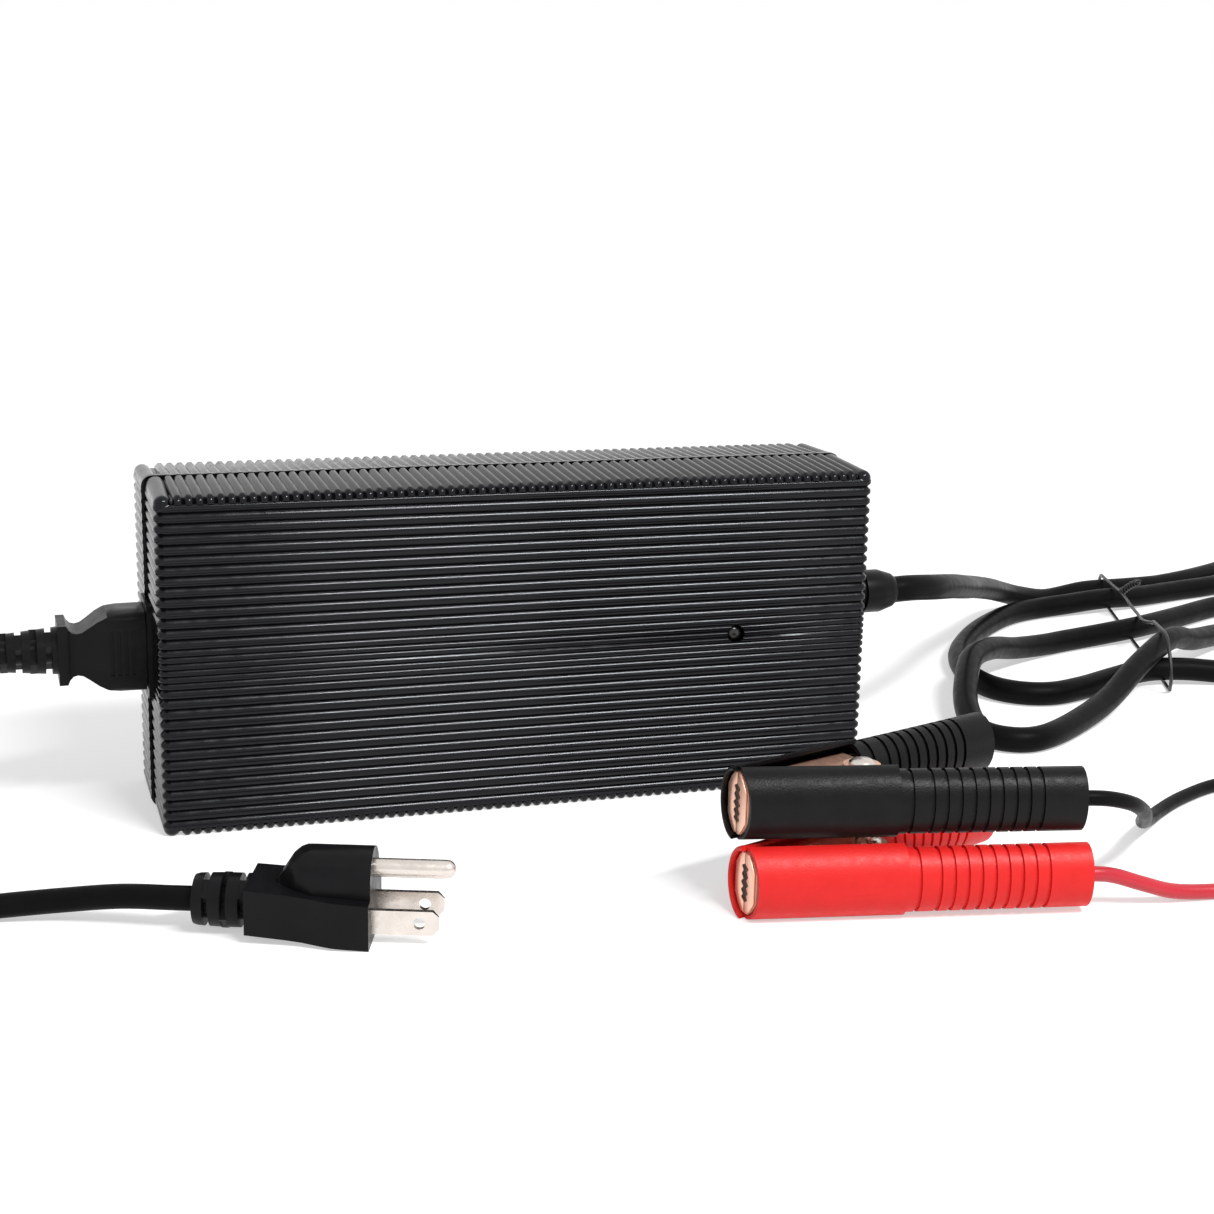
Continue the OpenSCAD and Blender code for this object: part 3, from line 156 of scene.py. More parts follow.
LOOKS = {
    "case": shade("case_black", (0.0026, 0.0026, 0.0034), 0.17, (0.0036, 0.0036, 0.0046),
                  grain=1500, depth=0.000006, Specular_IOR_Level=0.24,
                  Specular_Tint=(0.93, 0.95, 1.0, 1.0)),
    "mould": shade("moulded_black", (0.0045, 0.0045, 0.005), 0.34, (0.007, 0.007, 0.008),
                  grain=1800, depth=0.00003, Specular_IOR_Level=0.12),
    "cord": shade("sheath_black", (0.004, 0.004, 0.0045), 0.40, (0.006, 0.006, 0.0065), grain=900,
                  depth=0.00002, Specular_IOR_Level=0.05),
    "red_cord": shade("sheath_red", (0.62, 0.020, 0.038), 0.30, (0.56, 0.016, 0.032), grain=900,
                  depth=0.00002),
    "vinyl": shade("vinyl_black", (0.0045, 0.0045, 0.005), 0.38, (0.007, 0.007, 0.0075), tone=160,
                  grain=1900, depth=0.00007, Specular_IOR_Level=0.14),
    "red_vinyl": shade("vinyl_red", (0.82, 0.021, 0.019), 0.45, (0.77, 0.018, 0.016), tone=160,
                  grain=1900, depth=0.00006, Specular_IOR_Level=0.3),
    "copper": shade("copper_plate", (0.96, 0.60, 0.46), 0.38, (0.90, 0.51, 0.37), metal=0.75,
                  tone=140, grain=1500, depth=0.00002),
    # near-black plate behind the copper tips: painted shade of the recess between the teeth, not a
    # colour of the copper
    "throat_shade": shade("painted_shade_plate", (0.020, 0.010, 0.008), 0.6, (0.035, 0.017, 0.012), tone=400),
    "nickel": shade("nickel_plate", (0.74, 0.68, 0.63), 0.26, (0.66, 0.60, 0.55), metal=1.0,
                  tone=200, grain=2500, depth=0.00001),
    "green": shade("board_green", (0.02, 0.10, 0.035), 0.4, (0.03, 0.13, 0.05)),
    "paper": shade("paper_cream", (0.6, 0.55, 0.38), 0.6, (0.5, 0.46, 0.3)),
    "parts": shade("component_dark", (0.03, 0.03, 0.04), 0.3, (0.05, 0.05, 0.06)),
    "ferrite": shade("ferrite_grey", (0.04, 0.04, 0.045), 0.55, (0.06, 0.06, 0.065)),
    "enamel": shade("enamel_copper", (0.5, 0.2, 0.06), 0.3, (0.4, 0.15, 0.04), metal=0.6),
    "alloy": shade("alloy_plain", (0.6, 0.6, 0.62), 0.35, (0.5, 0.5, 0.52), metal=1.0),
    # near-black lens: its darkness is painted shade of the recessed hole round the light
    "lens": shade("lens_painted_shade", (0.012, 0.013, 0.012), 0.12, (0.02, 0.02, 0.019)),
    "wire_coat": shade("tie_black", (0.012, 0.012, 0.013), 0.38, (0.02, 0.02, 0.021), grain=1200,
                  depth=0.00002),
    "wire_brown": shade("wire_brown", (0.12, 0.04, 0.02), 0.4, (0.15, 0.05, 0.03)),
}
PAINT = {
    "front_cover": "case", "rear_cover": "case", "cover_screws": "nickel", "mains_inlet": "mould",
    "inlet_blades": "nickel", "inlet_wires": "wire_brown", "circuit_board": "green",
    "board_screws": "nickel", "insulation_sheet": "paper", "input_fuse": "paper",
    "x_capacitor": "enamel", "emi_choke": "enamel", "bridge_rectifier": "parts",
    "bulk_capacitors": "parts", "primary_heat_sink": "alloy", "power_transistors": "parts",
    "transformer_core": "ferrite", "transformer_winding": "paper", "secondary_heat_sink": "alloy",
    "output_rectifiers": "parts", "output_inductor": "enamel", "output_capacitors": "parts",
    "indicator_led": "lens", "led_wires": "red_cord", "output_wires": "cord",
    "output_strain_relief": "mould", "cable_splitter": "mould", "connector_body": "mould",
    "connector_contacts": "nickel", "connector_strain_relief": "mould", "plug_body": "mould",
    "plug_blades": "nickel", "plug_ground_pin": "nickel", "plug_strain_relief": "mould",
}
for side in ("black", "red"):
    vinyl = "vinyl" if side == "black" else "red_vinyl"
    for piece, look in (("fixed_jaw", "copper"), ("moving_jaw", "copper"), ("crimp", "copper"),
                        ("fixed_sleeve", vinyl), ("moving_sleeve", vinyl), ("rivet", "nickel"),
                        ("spring", "nickel"), ("spring_leg", "nickel")):
        PAINT[side + "_clamp_" + piece] = look
SMOOTH_BELOW, RIB_BELOW = 36, 52        # degrees between two faces
MERGE_WITHIN = 0.002


def smooth_by_angle(name, limit):
    """Modifier nodes that join a mesh's faces and smooth every edge flatter than the limit."""
    tree = bpy.data.node_groups.new(name, "GeometryNodeTree")
    tree.interface.new_socket(name="Geometry", in_out="INPUT", socket_type="NodeSocketGeometry")
    tree.interface.new_socket(name="Geometry", in_out="OUTPUT", socket_type="NodeSocketGeometry")
    come, go = tree.nodes.new("NodeGroupInput"), tree.nodes.new("NodeGroupOutput")
    merge = tree.nodes.new("GeometryNodeMergeByDistance")
    merge.inputs["Distance"].default_value = MERGE_WITHIN * MM
    plain = tree.nodes.new("GeometryNodeRemoveAttribute")
    plain.inputs["Name"].default_value = "custom_normal"
    angle = tree.nodes.new("GeometryNodeInputMeshEdgeAngle")
    sharp = tree.nodes.new("FunctionNodeCompare")
    sharp.data_type = "FLOAT"
    sharp.operation = "GREATER_THAN"
    sharp.inputs["B"].default_value = math.radians(limit)
    edges = tree.nodes.new("GeometryNodeSetShadeSmooth")
    edges.domain = "EDGE"
    edges.inputs["Shade Smooth"].default_value = False
    faces = tree.nodes.new("GeometryNodeSetShadeSmooth")
    faces.domain = "FACE"
    faces.inputs["Shade Smooth"].default_value = True
    tree.links.new(come.outputs[0], merge.inputs["Geometry"])
    tree.links.new(merge.outputs[0], plain.inputs["Geometry"])
    tree.links.new(plain.outputs[0], faces.inputs["Geometry"])
    tree.links.new(angle.outputs["Unsigned Angle"], sharp.inputs["A"])
    tree.links.new(sharp.outputs["Result"], edges.inputs["Selection"])
    tree.links.new(faces.outputs[0], edges.inputs["Geometry"])
    tree.links.new(edges.outputs[0], go.inputs[0])
    return tree


SMOOTHING = smooth_by_angle("smooth_by_angle", SMOOTH_BELOW)
RIB_SMOOTHING = smooth_by_angle("smooth_ribs", RIB_BELOW)
for name, look in PAINT.items():
    obj = nodes[name]
    obj.data.materials.clear()
    obj.data.materials.append(LOOKS[look])
    obj.modifiers.new("smoothing", "NODES").node_group = RIB_SMOOTHING if look == "case" else SMOOTHING


# ---------------------------------------------------------------- cords
CORD_ROUNDING = 6
CORD_STEPS, TIE_STEPS = 6, 4            # steps of the curve from one route point to the next


def smooth(points, steps, low=0.0):
    """Smooth curve through points in mm, as points in metres."""
    pts = [Vector(p) for p in points]
    out = []
    for i in range(len(pts) - 1):
        a, b, c, d = pts[max(i - 1, 0)], pts[i], pts[i + 1], pts[min(i + 2, len(pts) - 1)]
        for k in range(steps):
            t = k / steps
            bend = (2 * a - 5 * b + 4 * c - d) * t * t
            turn = (3 * b - a - 3 * c + d) * t ** 3
            q = 0.5 * (2 * b + (c - a) * t + bend + turn)
            q.z = max(q.z, low)
            out.append(q * MM)
    out.append(pts[-1] * MM)
    return out


def lay_cord(name, points, diameter, look, body, stands_for):
    """Round tube along points in metres, on a body, in place of the nodes it stands for."""
    curve = bpy.data.curves.new(name, "CURVE")
    curve.dimensions = "3D"
    curve.bevel_depth = diameter / 2
    curve.bevel_resolution = CORD_ROUNDING
    curve.use_fill_caps = True
    spline = curve.splines.new("POLY")
    spline.points.add(len(points) - 1)
    for p, q in zip(spline.points, points):
        p.co = (*q, 1)
    spline.use_smooth = True
    curve.materials.append(LOOKS[look])
    obj = bpy.data.objects.new(name, curve)
    bpy.context.scene.collection.objects.link(obj)
    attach(obj, body)
    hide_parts(*stands_for)
    return obj


OUT_D, MAINS_D, LEAD_D, TIE_D = 8.5, 6.4, 4.2, 1.3      # thickness of each cord and of the tie
LIE = OUT_D / 2                         # centre of the cable where it lies on the floor
TIED = LIE + 1.5                        # where the tie runs under it
OVER = 3 * LIE + 0.8                    # where it crosses over another strand
RELIEF_END, OUTLET_Z = 128.8, 54
SPLIT_AT = Vector((330, -35, LIE))
SPLIT_YAW = math.radians(210)
SPLIT_L, SPLIT_APART = 26, 3            # its length, and each lead's distance from its middle
out_points = [
    (RELIEF_END, 0, OUTLET_Z), (136, 1, OUTLET_Z), (148, 8, 52), (163, 25, 47.5), (180, 48, 41),
    (204, 85, 31), (227, 115, 22), (248, 143, 13), (263, 155, 7.6), (279, 161, LIE),
    (300, 165, TIED), (320, 168, LIE + 1), (342, 174, LIE), (361, 181, LIE), (380, 190, LIE),
    (402, 202, LIE), (426, 205, LIE), (446, 189, LIE), (454, 160, LIE), (446, 129, LIE),
    (425, 106, LIE), (395, 96, LIE), (365, 98, LIE), (336, 97, LIE), (311, 85, 6), (289, 68, 10),
    (275, 57.5, OVER + 0.8), (262, 47, OVER + 1.6), (243, 32, 11.9), (222, 15, 6.5),
    (202, 0, LIE + 0.3), (184, -12, LIE), (173, -15, LIE), (165, -10, LIE), (163, 0, LIE + 0.3),
    (167, 16, 7.5), (176, 34, 11.5), (187, 51, OVER + 0.3), (203, 67, 12), (221, 82, 7),
    (239, 92, LIE + 0.3), (256, 98, LIE), (273, 101, LIE + 0.8), (290, 105, TIED),
    (316, 119, LIE + 0.4), (342, 132, LIE), (366, 138, LIE), (390, 136, LIE), (410, 140, LIE),
    (423, 152, LIE), (423, 168, LIE), (411, 180, LIE), (394, 180, LIE), (378, 172, LIE),
    (361, 166, LIE), (340, 161, LIE), (318, 154, LIE + 0.6), (299, 150, TIED),
    (281, 148, LIE + 0.6), (266, 146, LIE), (251, 140, LIE), (235, 128, LIE), (218, 111, LIE),
    (203, 91, LIE), (195, 74, LIE), (191, 58, LIE), (192, 44, LIE), (199, 35, LIE), (210, 32, LIE),
    (224, 36, LIE), (241, 43, LIE + 0.4), (257, 47, LIE + 1.4), (271, 45, TIED),
    (286, 41, LIE + 0.5), (305, 36, LIE), (330, 34, LIE), (351, 23, LIE), (360, 1, LIE),
    (352, -20, LIE), SPLIT_AT + Vector((8 * 0.866, 4, 0)), SPLIT_AT]

PLUG_AT = Vector((-62.8, -109.1, 6))
PLUG_YAW = math.radians(-19.1)
INLET_Z = 49.7
COIL_AT = Vector((-238, -33))
COIL_R, COIL_PITCH, COIL_TURNS = 30, 7.0, 2
COIL_OUT = COIL_TURNS + 0.25            # turns to the innermost point
COIL_STEPS = 24                         # route points in one turn
COIL_EDGE = COIL_R + COIL_PITCH * COIL_OUT


def plug_point(x, z):
    """Place on the plug's axis line, x forward from its face."""
    return PLUG_AT + Vector((x * math.cos(PLUG_YAW), x * math.sin(PLUG_YAW), z))


def coil_point(u):
    """Place on the mains coil after u turns: it winds in on the floor and out again on top."""
    r = COIL_R + COIL_PITCH * abs(u - COIL_OUT)
    a = math.radians(-90 - 360 * u)
    rise = min(max(2 * (u - COIL_TURNS), 0), 1)
    z = MAINS_D / 2 + COIL_PITCH * (1 - math.cos(math.pi * rise)) / 2
    return Vector((COIL_AT.x + r * math.cos(a), COIL_AT.y + r * math.sin(a), z))


low = MAINS_D / 2
mains_points = [
    plug_point(-45.5, 2), plug_point(-52, 2), (-124, -86.5, 7.4), (-138, -80.5, 5.4),
    (-153, -77, 4), (-167, -76, 3.4), (-182, -76.4, low), (-198, COIL_AT.y - COIL_EDGE, low),
    (-214, COIL_AT.y - COIL_EDGE, low), (COIL_AT.x + 8, COIL_AT.y - COIL_EDGE, low)]
mains_points += [coil_point(k / COIL_STEPS) for k in range(int(2 * COIL_OUT * COIL_STEPS) + 1)]
mains_points += [
    (COIL_AT.x + 8, COIL_AT.y + COIL_EDGE, low + COIL_PITCH), (-221, 10.7, 11.6), (-212, 9.8, 16),
    (-206, 8, 22), (-201.5, 5.4, 30), (-197, 2.8, 38), (-191, 1, 44), (-182, 0.1, 48.3),
    (-173, 0, INLET_Z), (-165.3, 0, INLET_Z)]


def split_point(x, y, z):
    """Place x along and y across the splitter."""
    c, s = math.cos(SPLIT_YAW), math.sin(SPLIT_YAW)
    return (SPLIT_AT.x + x * c - y * s, SPLIT_AT.y + x * s + y * c, z)


JAW_REACH, SPREAD = 36, 31              # pivot to tips, and degrees between the handles
# each clamp: pivot x, pivot y, direction in degrees, height
BLACK_SITE = (67, -115.2, 4.4, 30)
RED_SITE = (67.8, -119.9, 5.6, 9.9)


def tip_of(site):
    """Where the jaws of a clamp meet."""
    d = math.radians(site[2])
    return Vector((site[0] - JAW_REACH * math.cos(d), site[1] - JAW_REACH * math.sin(d), site[3]))


def clamp_point(site, x, y):
    """Place in a clamp's fixed half: x back from the tips, y outwards."""
    a = math.radians(site[2] - SPREAD / 2)
    out = Vector((x * math.cos(a) + y * math.sin(a), x * math.sin(a) - y * math.cos(a), 0))
    return tip_of(site) + out


low = LEAD_D / 2
HELD = (62, 78, 92.5)                   # along the handle, where the lead runs inside it
black_points = [clamp_point(BLACK_SITE, x, 1) for x in HELD] + [
    (129.5, -137.2, 29.2), (138, -134.5, 26.2), (147, -126, 20.5), (155, -115, 14),
    (163, -102, 7.5), (172, -91, 3.4), (183, -81, low), (197, -72, low), (213, -65, low),
    (236, -61, low), (262, -60, low), (284, -56, 2.3), split_point(SPLIT_L + 7, -SPLIT_APART, 2.9),
    split_point(SPLIT_L, -SPLIT_APART, 3.4)]
red_points = [clamp_point(RED_SITE, x, 1) for x in HELD] + [
    (130, -140.8, 8.9), (138, -141.8, 6.3), (147, -142, 3.4), (156, -142.4, 2.3), (167, -143, low),
    (182, -142.6, low), (201, -139, low), (222, -130, low), (243, -114, low), (262, -94, low),
    (281, -73, 2.3), split_point(SPLIT_L + 7, SPLIT_APART, 2.9),
    split_point(SPLIT_L, SPLIT_APART, 3.4)]

# ---------------------------------------------------------------- ties and springs
TIE_TOP = TIED + LIE + TIE_D / 2 + 0.3
tie_low = TIE_D / 2
tie_points = [
    (302, 141, TIE_TOP), (305, 152, TIE_TOP), (309, 166, TIE_TOP + 0.2), (312, 173, TIE_TOP - 1),
    (314, 177, 6), (314, 178, 3), (313, 175, tie_low), (300, 140, tie_low), (287, 106, tie_low),
    (274, 71, tie_low), (262, 40, tie_low), (259, 34, 2.4), (257, 31, 8), (258, 35, 16),
    (260, 41, 20.4), (264, 52, 20.4), (268, 62, 19.6), (274, 72, 16.5), (280, 88, 13),
    (288, 104, TIE_TOP), (294, 120, TIE_TOP), (300, 135, TIE_TOP)]
TWIST_TURNS, TWIST_R, TWIST_STEPS = 3.5, 0.85, 12       # steps are for one turn
TWIST_DROOP = Vector((0, -1.5, -1.8))
TWIST_FROM, TWIST_TO = Vector((301.2, 138, TIE_TOP + 0.4)), Vector((303.5, 131, TIE_TOP + 8.5))


def twisted_end(phase):
    """One of the two ends of the wire tie, wound round the other."""
    along = TWIST_TO - TWIST_FROM
    side = along.cross(Vector((0, 0, 1))).normalized()
    above = side.cross(along).normalized()
    count = int(TWIST_TURNS * TWIST_STEPS)
    points = []
    for k in range(count + 1):
        a = phase + math.tau * TWIST_TURNS * k / count
        bend = TWIST_DROOP * (k / count) ** 2
        round_it = TWIST_R * (math.cos(a) * side + math.sin(a) * above)
        points.append(TWIST_FROM + along * (k / count) + bend + round_it)
    return points


tie_path = smooth(twisted_end(math.pi)[::-1] + tie_points + twisted_end(0), TIE_STEPS, tie_low)
out_tie = lay_cord("output_tie", tie_path, TIE_D * MM, "wire_coat", "charger", ["output_cable_tie"])

PIVOT_X = JAW_REACH * math.cos(math.radians(SPREAD / 2))
PIVOT_Y = -JAW_REACH * math.sin(math.radians(SPREAD / 2))
SPRING_R, SPRING_D, SPRING_PITCH = -PIVOT_Y - 3.7, 1.3, 1.6
SPRING_TURN = 3 * 360 + 360 - 2 * (90 + SPREAD / 2)
SPRING_TOP = SPRING_PITCH * SPRING_TURN / 720   # half its height
SPRING_STEP = 12                        # degrees
LEG_END, LEG_Y = 58, -1.6


def wind_spring(name, site, stands_for):
    """The wound part of a clamp's spring, with its leg to the fixed half."""
    a = math.radians(-SPREAD / 2)
    u, v = LEG_END - PIVOT_X, -(LEG_Y - PIVOT_Y)
    leg = (u * math.cos(a) - v * math.sin(a), u * math.sin(a) + v * math.cos(a), -SPRING_TOP)
    points = [Vector(leg)]
    count = int(SPRING_TURN / SPRING_STEP)
    for k in range(count + 1):
        a = math.radians(-90 - SPREAD / 2 - SPRING_TURN * k / count)
        rise = SPRING_TOP * (2 * k / count - 1)
        points.append(Vector((SPRING_R * math.cos(a), SPRING_R * math.sin(a), rise)))
    turn = Matrix.Rotation(math.radians(site[2]), 3, "Z")
    place = Vector((site[0], site[1], site[3]))
    spring = lay_cord(name, [(place + turn @ q) * MM for q in points], SPRING_D * MM, "nickel",
                      "charger", [stands_for])
    return spring


springs = {"black": wind_spring("black_spring", BLACK_SITE, "black_clamp_spring"),
           "red": wind_spring("red_spring", RED_SITE, "red_clamp_spring")}

STRAP_T, STRAP_W, STRAP_ROUND = 0.5, 5, 3.6
CORNER_STEPS, STRAP_STRIPS = 8, 4
FINE_EDGE = 0.12                        # bevel of thin sheet edges


def strap_round(name, x0, x1, y, top, stands_for):
    """A soft strap round the strands of the coil, as a closed loop with rounded corners."""
    near, far, upper = x0 + STRAP_ROUND, x1 - STRAP_ROUND, top - STRAP_ROUND
    loop = []
    for cx, cz, a0 in ((far, STRAP_ROUND, -90), (far, upper, 0), (near, upper, 90),
                       (near, STRAP_ROUND, 180)):
        for k in range(CORNER_STEPS + 1):
            a = math.radians(a0 + 90 * k / CORNER_STEPS)
            loop.append((cx + STRAP_ROUND * math.cos(a), cz + STRAP_ROUND * math.sin(a)))
    mesh = bpy.data.meshes.new(name)
    bm = bmesh.new()
    across = [-STRAP_W / 2 + STRAP_W * j / STRAP_STRIPS for j in range(STRAP_STRIPS + 1)]
    rings = [[bm.verts.new((px * MM, (y + dy) * MM, pz * MM)) for dy in across]
             for px, pz in loop]
    for i in range(len(rings)):
        a, b = rings[i], rings[(i + 1) % len(rings)]
        for j in range(STRAP_STRIPS):
            bm.faces.new((a[j], a[j + 1], b[j + 1], b[j]))
    bmesh.ops.recalc_face_normals(bm, faces=bm.faces)
    bm.to_mesh(mesh)
    bm.free()
    mesh.shade_smooth()
    mesh.materials.append(LOOKS["wire_coat"])
    obj = bpy.data.objects.new(name, mesh)
    bpy.context.scene.collection.objects.link(obj)
    thick = obj.modifiers.new("thickness", "SOLIDIFY")
    thick.thickness = STRAP_T * MM
    thick.offset = -1
    edge = obj.modifiers.new("edge", "BEVEL")
    edge.width = FINE_EDGE * MM
    edge.segments = 2
    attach(obj, "mains_lead")
    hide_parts(stands_for)
    return obj


COIL_NEAR = COIL_AT.x + COIL_R + COIL_PITCH / 2 - MAINS_D / 2 - 1
COIL_FAR = COIL_AT.x + COIL_R + 1.5 * COIL_PITCH + MAINS_D / 2 + 1
COIL_TOP = MAINS_D + COIL_PITCH + 0.6
strap = strap_round("coil_strap", COIL_NEAR, COIL_FAR, COIL_AT.y, COIL_TOP, "mains_coil_tie")

# ---------------------------------------------------------------- jaw tips, the painted shade behind them, and sleeve lips
# the toothed edge, as heights and how far each stands back from the middle
TOOTH = ((-5.2, 0.2), (-4.4, 1.8), (-3.4, 0.9), (-2.4, 2.0), (-1.3, 0.8), (-0.2, 2.1),
         (0.9, 0.8), (2.0, 1.9), (3.2, 0.9), (4.3, 1.9), (5.2, 0.2))
TIP_OUTLINE = [(0.2, -8.2)] + [(y, z) for z, y in TOOTH] + [
    (0.2, 8.2), (1.6, 8.2), (3.3, 6.7), (5.2, 4.1), (5.2, -4.1), (3.3, -6.7), (1.6, -8.2)]
# the throat plate is a near-black sheet set just behind the tips, painted shade for the gap between
# the teeth
THROAT_OUTLINE = [(0.2, -5.6), (0.2, 5.6), (2.4, 5.6), (2.4, -5.6)]
TIP_FACE, TIP_BACK, THROAT_BACK = -0.5, -0.1, -0.03     # x of each plate's two sides
LIP_L, LIP_T = 1.9, 1.2                 # how far the lip stands out, and its wall
LIP_A, LIP_R = 7.5, 9.9                 # its half width and half height
LIP_OUT = 0.25                          # how far it is set outwards
LIP_SWEEP, LIP_STEPS = 88, 36           # degrees to each side


def middle_frame(site, side):
    """Turns x back from the tips, y outwards on one side and z into the place of a closed clamp."""
    tip = tip_of(site)
    turn = Matrix.Rotation(math.radians(site[2]), 3, "Z")
    return lambda x, y, z: (tip + turn @ Vector((x, side * y, z))) * MM


def add_piece(name, bm, look, body, bevel):
    """Object of the mesh, with a bevel if its width isn't 0, on a body and in a material slot."""
    bmesh.ops.recalc_face_normals(bm, faces=bm.faces)
    mesh = bpy.data.meshes.new(name)
    bm.to_mesh(mesh)
    bm.free()
    mesh.materials.append(LOOKS[look])
    obj = bpy.data.objects.new(name, mesh)
    bpy.context.scene.collection.objects.link(obj)
    if bevel:
        edge = obj.modifiers.new("edge", "BEVEL")
        edge.width = bevel * MM
        edge.segments = 2
        edge.limit_method = "ANGLE"
    obj.modifiers.new("smoothing", "NODES").node_group = SMOOTHING
    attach(obj, body)
    return obj


def plate(name, outline, x0, x1, place, look, body, bevel=0.0):
    """A flat plate with the given outline of y, z between two depths."""
    bm = bmesh.new()
    near = [bm.verts.new(place(x0, y, z)) for y, z in outline]
    far = [bm.verts.new(place(x1, y, z)) for y, z in outline]
    bm.faces.new(near)
    bm.faces.new(far[::-1])
    for i in range(len(outline)):
        j = (i + 1) % len(outline)
        bm.faces.new((near[i], near[j], far[j], far[i]))
    return add_piece(name, bm, look, body, bevel)


def lip(name, place, look, body):
    """The mouth of the rear sleeve, past the copper tips: half an oval with a rounded edge."""
    slope = math.tan(math.radians(SPREAD / 2))
    section = [(0.0, 0.0), (-LIP_L + 0.5, 0.0), (-LIP_L + 0.12, 0.18), (-LIP_L, 0.6),
               (-LIP_L + 0.12, LIP_T - 0.18), (-LIP_L + 0.5, LIP_T), (0.0, LIP_T)]
    bm = bmesh.new()
    rings = []
    for k in range(LIP_STEPS + 1):
        a = math.radians(-LIP_SWEEP + 2 * LIP_SWEEP * k / LIP_STEPS)
        rings.append([bm.verts.new(place(x, (LIP_A - t) * math.cos(a) + slope * x + LIP_OUT,
                                         (LIP_R - t) * math.sin(a)))
                      for x, t in section])
    for a, b in zip(rings, rings[1:]):
        for j in range(len(section)):
            n = (j + 1) % len(section)
            bm.faces.new((a[j], a[n], b[n], b[j]))
    bm.faces.new(rings[0])
    bm.faces.new(rings[-1][::-1])
    return add_piece(name, bm, look, body, 0.0)


tip_pieces = {"black": [], "red": []}
# each jaw gets copper tips and, behind them, a near-black plate of painted shade
for color, site in (("black", BLACK_SITE), ("red", RED_SITE)):
    for part, side, body in (("fixed", -1, "charger"), ("moving", 1, color + "_moving_half")):
        place = middle_frame(site, side)
        tip_pieces[color] += [
            plate(f"{color}_{part}_tip", TIP_OUTLINE, TIP_FACE, TIP_BACK, place,
                  "copper", body, FINE_EDGE),
            plate(f"{color}_{part}_throat", THROAT_OUTLINE, TIP_BACK, THROAT_BACK, place,
                  "throat_shade", body)]
    vinyl = "vinyl" if color == "black" else "red_vinyl"
    tip_pieces[color].append(lip(color + "_rear_lip", middle_frame(site, 1), vinyl,
                                 color + "_moving_half"))


mains_path = smooth(mains_points, CORD_STEPS, MAINS_D / 2)
mains = lay_cord("mains_cord", mains_path, MAINS_D * MM, "cord", "mains_lead",
                 ["mains_cord_plug_end", "mains_cord_coil", "mains_cord_connector_end"])
out_path = smooth(out_points, CORD_STEPS, LIE)
output = lay_cord("output_cable", out_path, OUT_D * MM, "cord", "charger",
                  ["output_cable_lead", "output_cable_hank", "output_cable_tail"])
for side, points, look in (("black", black_points, "cord"), ("red", red_points, "red_cord")):
    path = smooth(points, CORD_STEPS, LEAD_D / 2)[::-1]
    lead = lay_cord(side + "_clamp_lead", path, LEAD_D * MM, look, "charger", [side + "_lead"])

# ---------------------------------------------------------------- floor and light
WHITE = (1, 1, 1, 1)
FLOOR_SIZE, FLOOR_TONE = 12.0, 0.86     # its size is in metres
GLOW_NEAR, GLOW_FAR = 0.48, 0.80        # lift of the floor near the object and far from it
NEAR_R, FAR_R = 0.35, 1.1               # where the lift grows, in metres from the middle
FLOOR_SQUARES = 8                       # along each side


def plane(name, size, place, look):
    """Flat sheet of the stage, which isn't part of the object."""
    mesh = bpy.data.meshes.new(name)
    bm = bmesh.new()
    bmesh.ops.create_grid(bm, x_segments=FLOOR_SQUARES, y_segments=FLOOR_SQUARES, size=size / 2)
    bm.to_mesh(mesh)
    bm.free()
    obj = bpy.data.objects.new(name, mesh)
    obj.location = place
    mesh.materials.append(look)
    bpy.context.scene.collection.objects.link(obj)
    return obj


def seen_directly(tree):
    """Socket that is 1 for camera, glossy and transmission rays, and 0 for diffuse light."""
    path = tree.nodes.new("ShaderNodeLightPath")
    seen = path.outputs["Is Camera Ray"]
    for ray in ("Is Glossy Ray", "Is Transmission Ray"):
        either = tree.nodes.new("ShaderNodeMath")
        either.operation = "MAXIMUM"
        tree.links.new(seen, either.inputs[0])
        tree.links.new(path.outputs[ray], either.inputs[1])
        seen = either.outputs[0]
    return seen


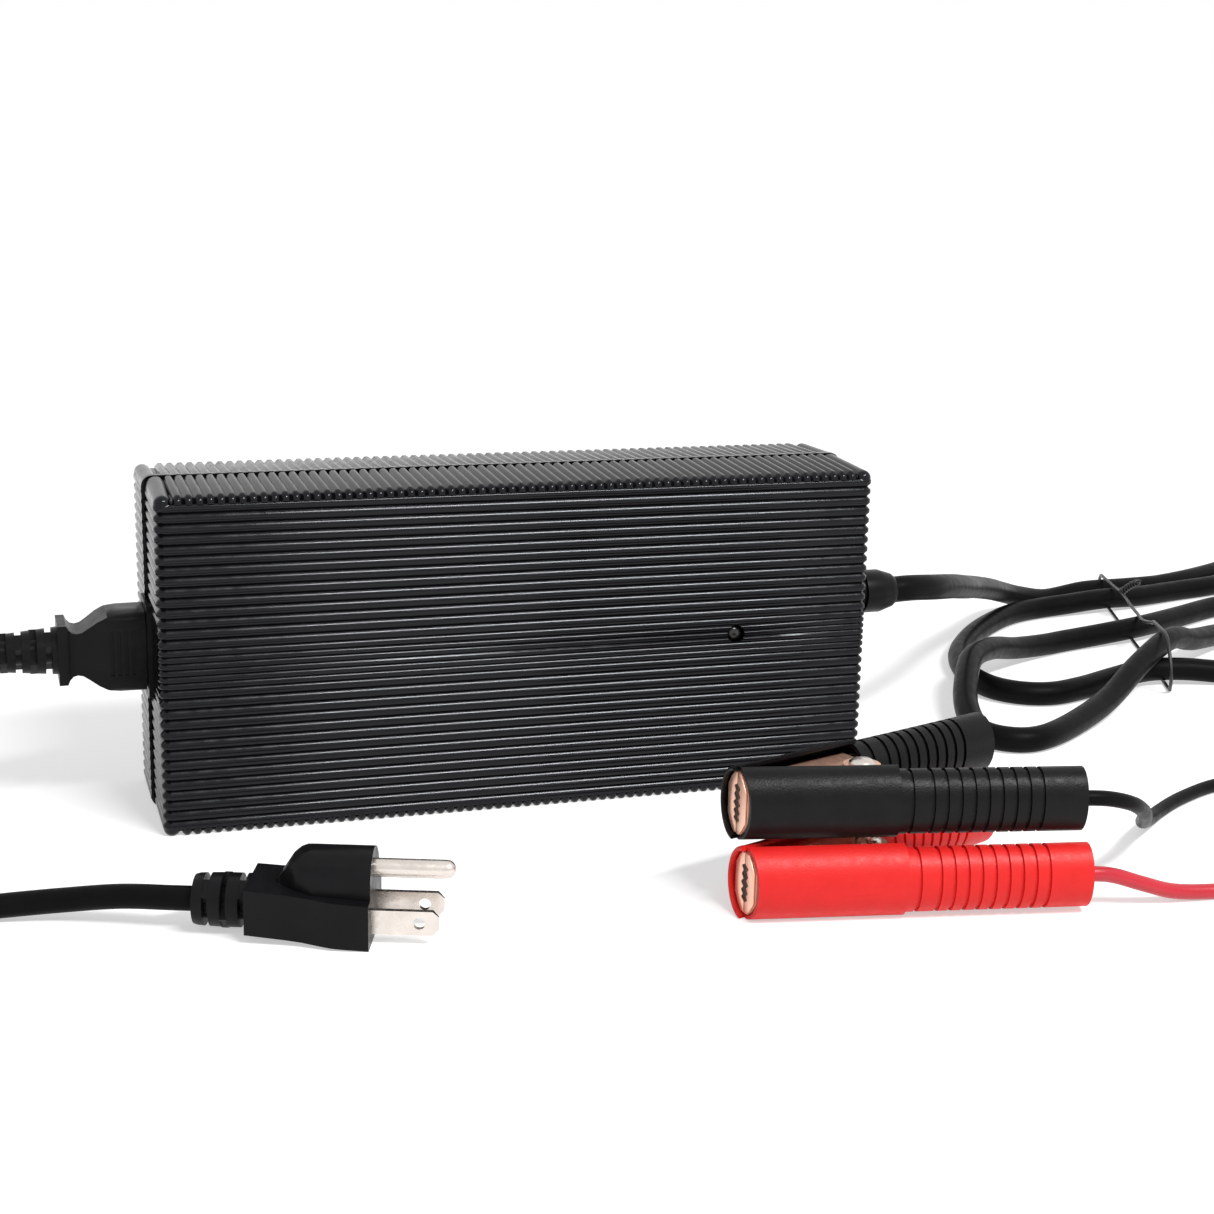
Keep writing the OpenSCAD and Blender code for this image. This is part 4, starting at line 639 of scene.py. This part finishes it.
def floor_look():
    """White floor that keeps shadows; its lift grows with the distance from the object."""
    mat = bpy.data.materials.new("floor_white")
    mat.use_nodes = True
    tree = mat.node_tree
    tree.nodes.remove(tree.nodes["Principled BSDF"])
    out = tree.nodes["Material Output"]
    diffuse = tree.nodes.new("ShaderNodeBsdfDiffuse")
    diffuse.inputs["Color"].default_value = (FLOOR_TONE, FLOOR_TONE, FLOOR_TONE, 1)
    coord = tree.nodes.new("ShaderNodeTexCoord")
    far = tree.nodes.new("ShaderNodeVectorMath")
    far.operation = "LENGTH"
    tree.links.new(coord.outputs["Object"], far.inputs[0])
    rise = tree.nodes.new("ShaderNodeMapRange")
    rise.interpolation_type = "SMOOTHSTEP"
    for key, value in (("From Min", NEAR_R), ("From Max", FAR_R),
                       ("To Min", GLOW_NEAR), ("To Max", GLOW_FAR)):
        rise.inputs[key].default_value = value
    tree.links.new(far.outputs["Value"], rise.inputs["Value"])
    glow = tree.nodes.new("ShaderNodeEmission")
    lift = tree.nodes.new("ShaderNodeMath")
    lift.operation = "MULTIPLY"
    tree.links.new(rise.outputs["Result"], lift.inputs[0])
    tree.links.new(seen_directly(tree), lift.inputs[1])
    tree.links.new(lift.outputs[0], glow.inputs["Strength"])
    add = tree.nodes.new("ShaderNodeAddShader")
    tree.links.new(diffuse.outputs[0], add.inputs[0])
    tree.links.new(glow.outputs[0], add.inputs[1])
    tree.links.new(add.outputs[0], out.inputs["Surface"])
    return mat


plane("floor", FLOOR_SIZE, (0, 0, 0), floor_look())

AMBIENT = 0.40                          # strength of the world light that falls on the object
scene = bpy.context.scene
world = bpy.data.worlds.new("studio")
scene.world = world
world.use_nodes = True
tree = world.node_tree
back = tree.nodes["Background"]
back.inputs["Color"].default_value = WHITE
back.inputs["Strength"].default_value = AMBIENT
white = tree.nodes.new("ShaderNodeBackground")
white.inputs["Strength"].default_value = 1.0
white.inputs["Color"].default_value = WHITE
mix = tree.nodes.new("ShaderNodeMixShader")
tree.links.new(seen_directly(tree), mix.inputs[0])
tree.links.new(back.outputs[0], mix.inputs[1])
tree.links.new(white.outputs[0], mix.inputs[2])
tree.links.new(mix.outputs[0], tree.nodes["World Output"].inputs["Surface"])


def softbox(name, place, target, width, height, power):
    """Rectangular lamp at a place in metres, turned to its target; power is in watts."""
    data = bpy.data.lights.new(name, "AREA")
    data.shape = "RECTANGLE"
    data.size = width
    data.size_y = height
    data.energy = power
    obj = bpy.data.objects.new(name, data)
    obj.location = place
    obj.rotation_euler = (Vector(target) - Vector(place)).to_track_quat("-Z", "Y").to_euler()
    obj.visible_camera = False
    scene.collection.objects.link(obj)


KEY_AT, KEY_TO = (0.34, -0.78, 0.99), (0.04, -0.02, 0.04)
KEY_W, KEY_H, KEY_POWER = 0.60, 0.12, 12.5
softbox("key", KEY_AT, KEY_TO, KEY_W, KEY_H, KEY_POWER)

scene.view_settings.view_transform = "Standard"

low, high = cad_box
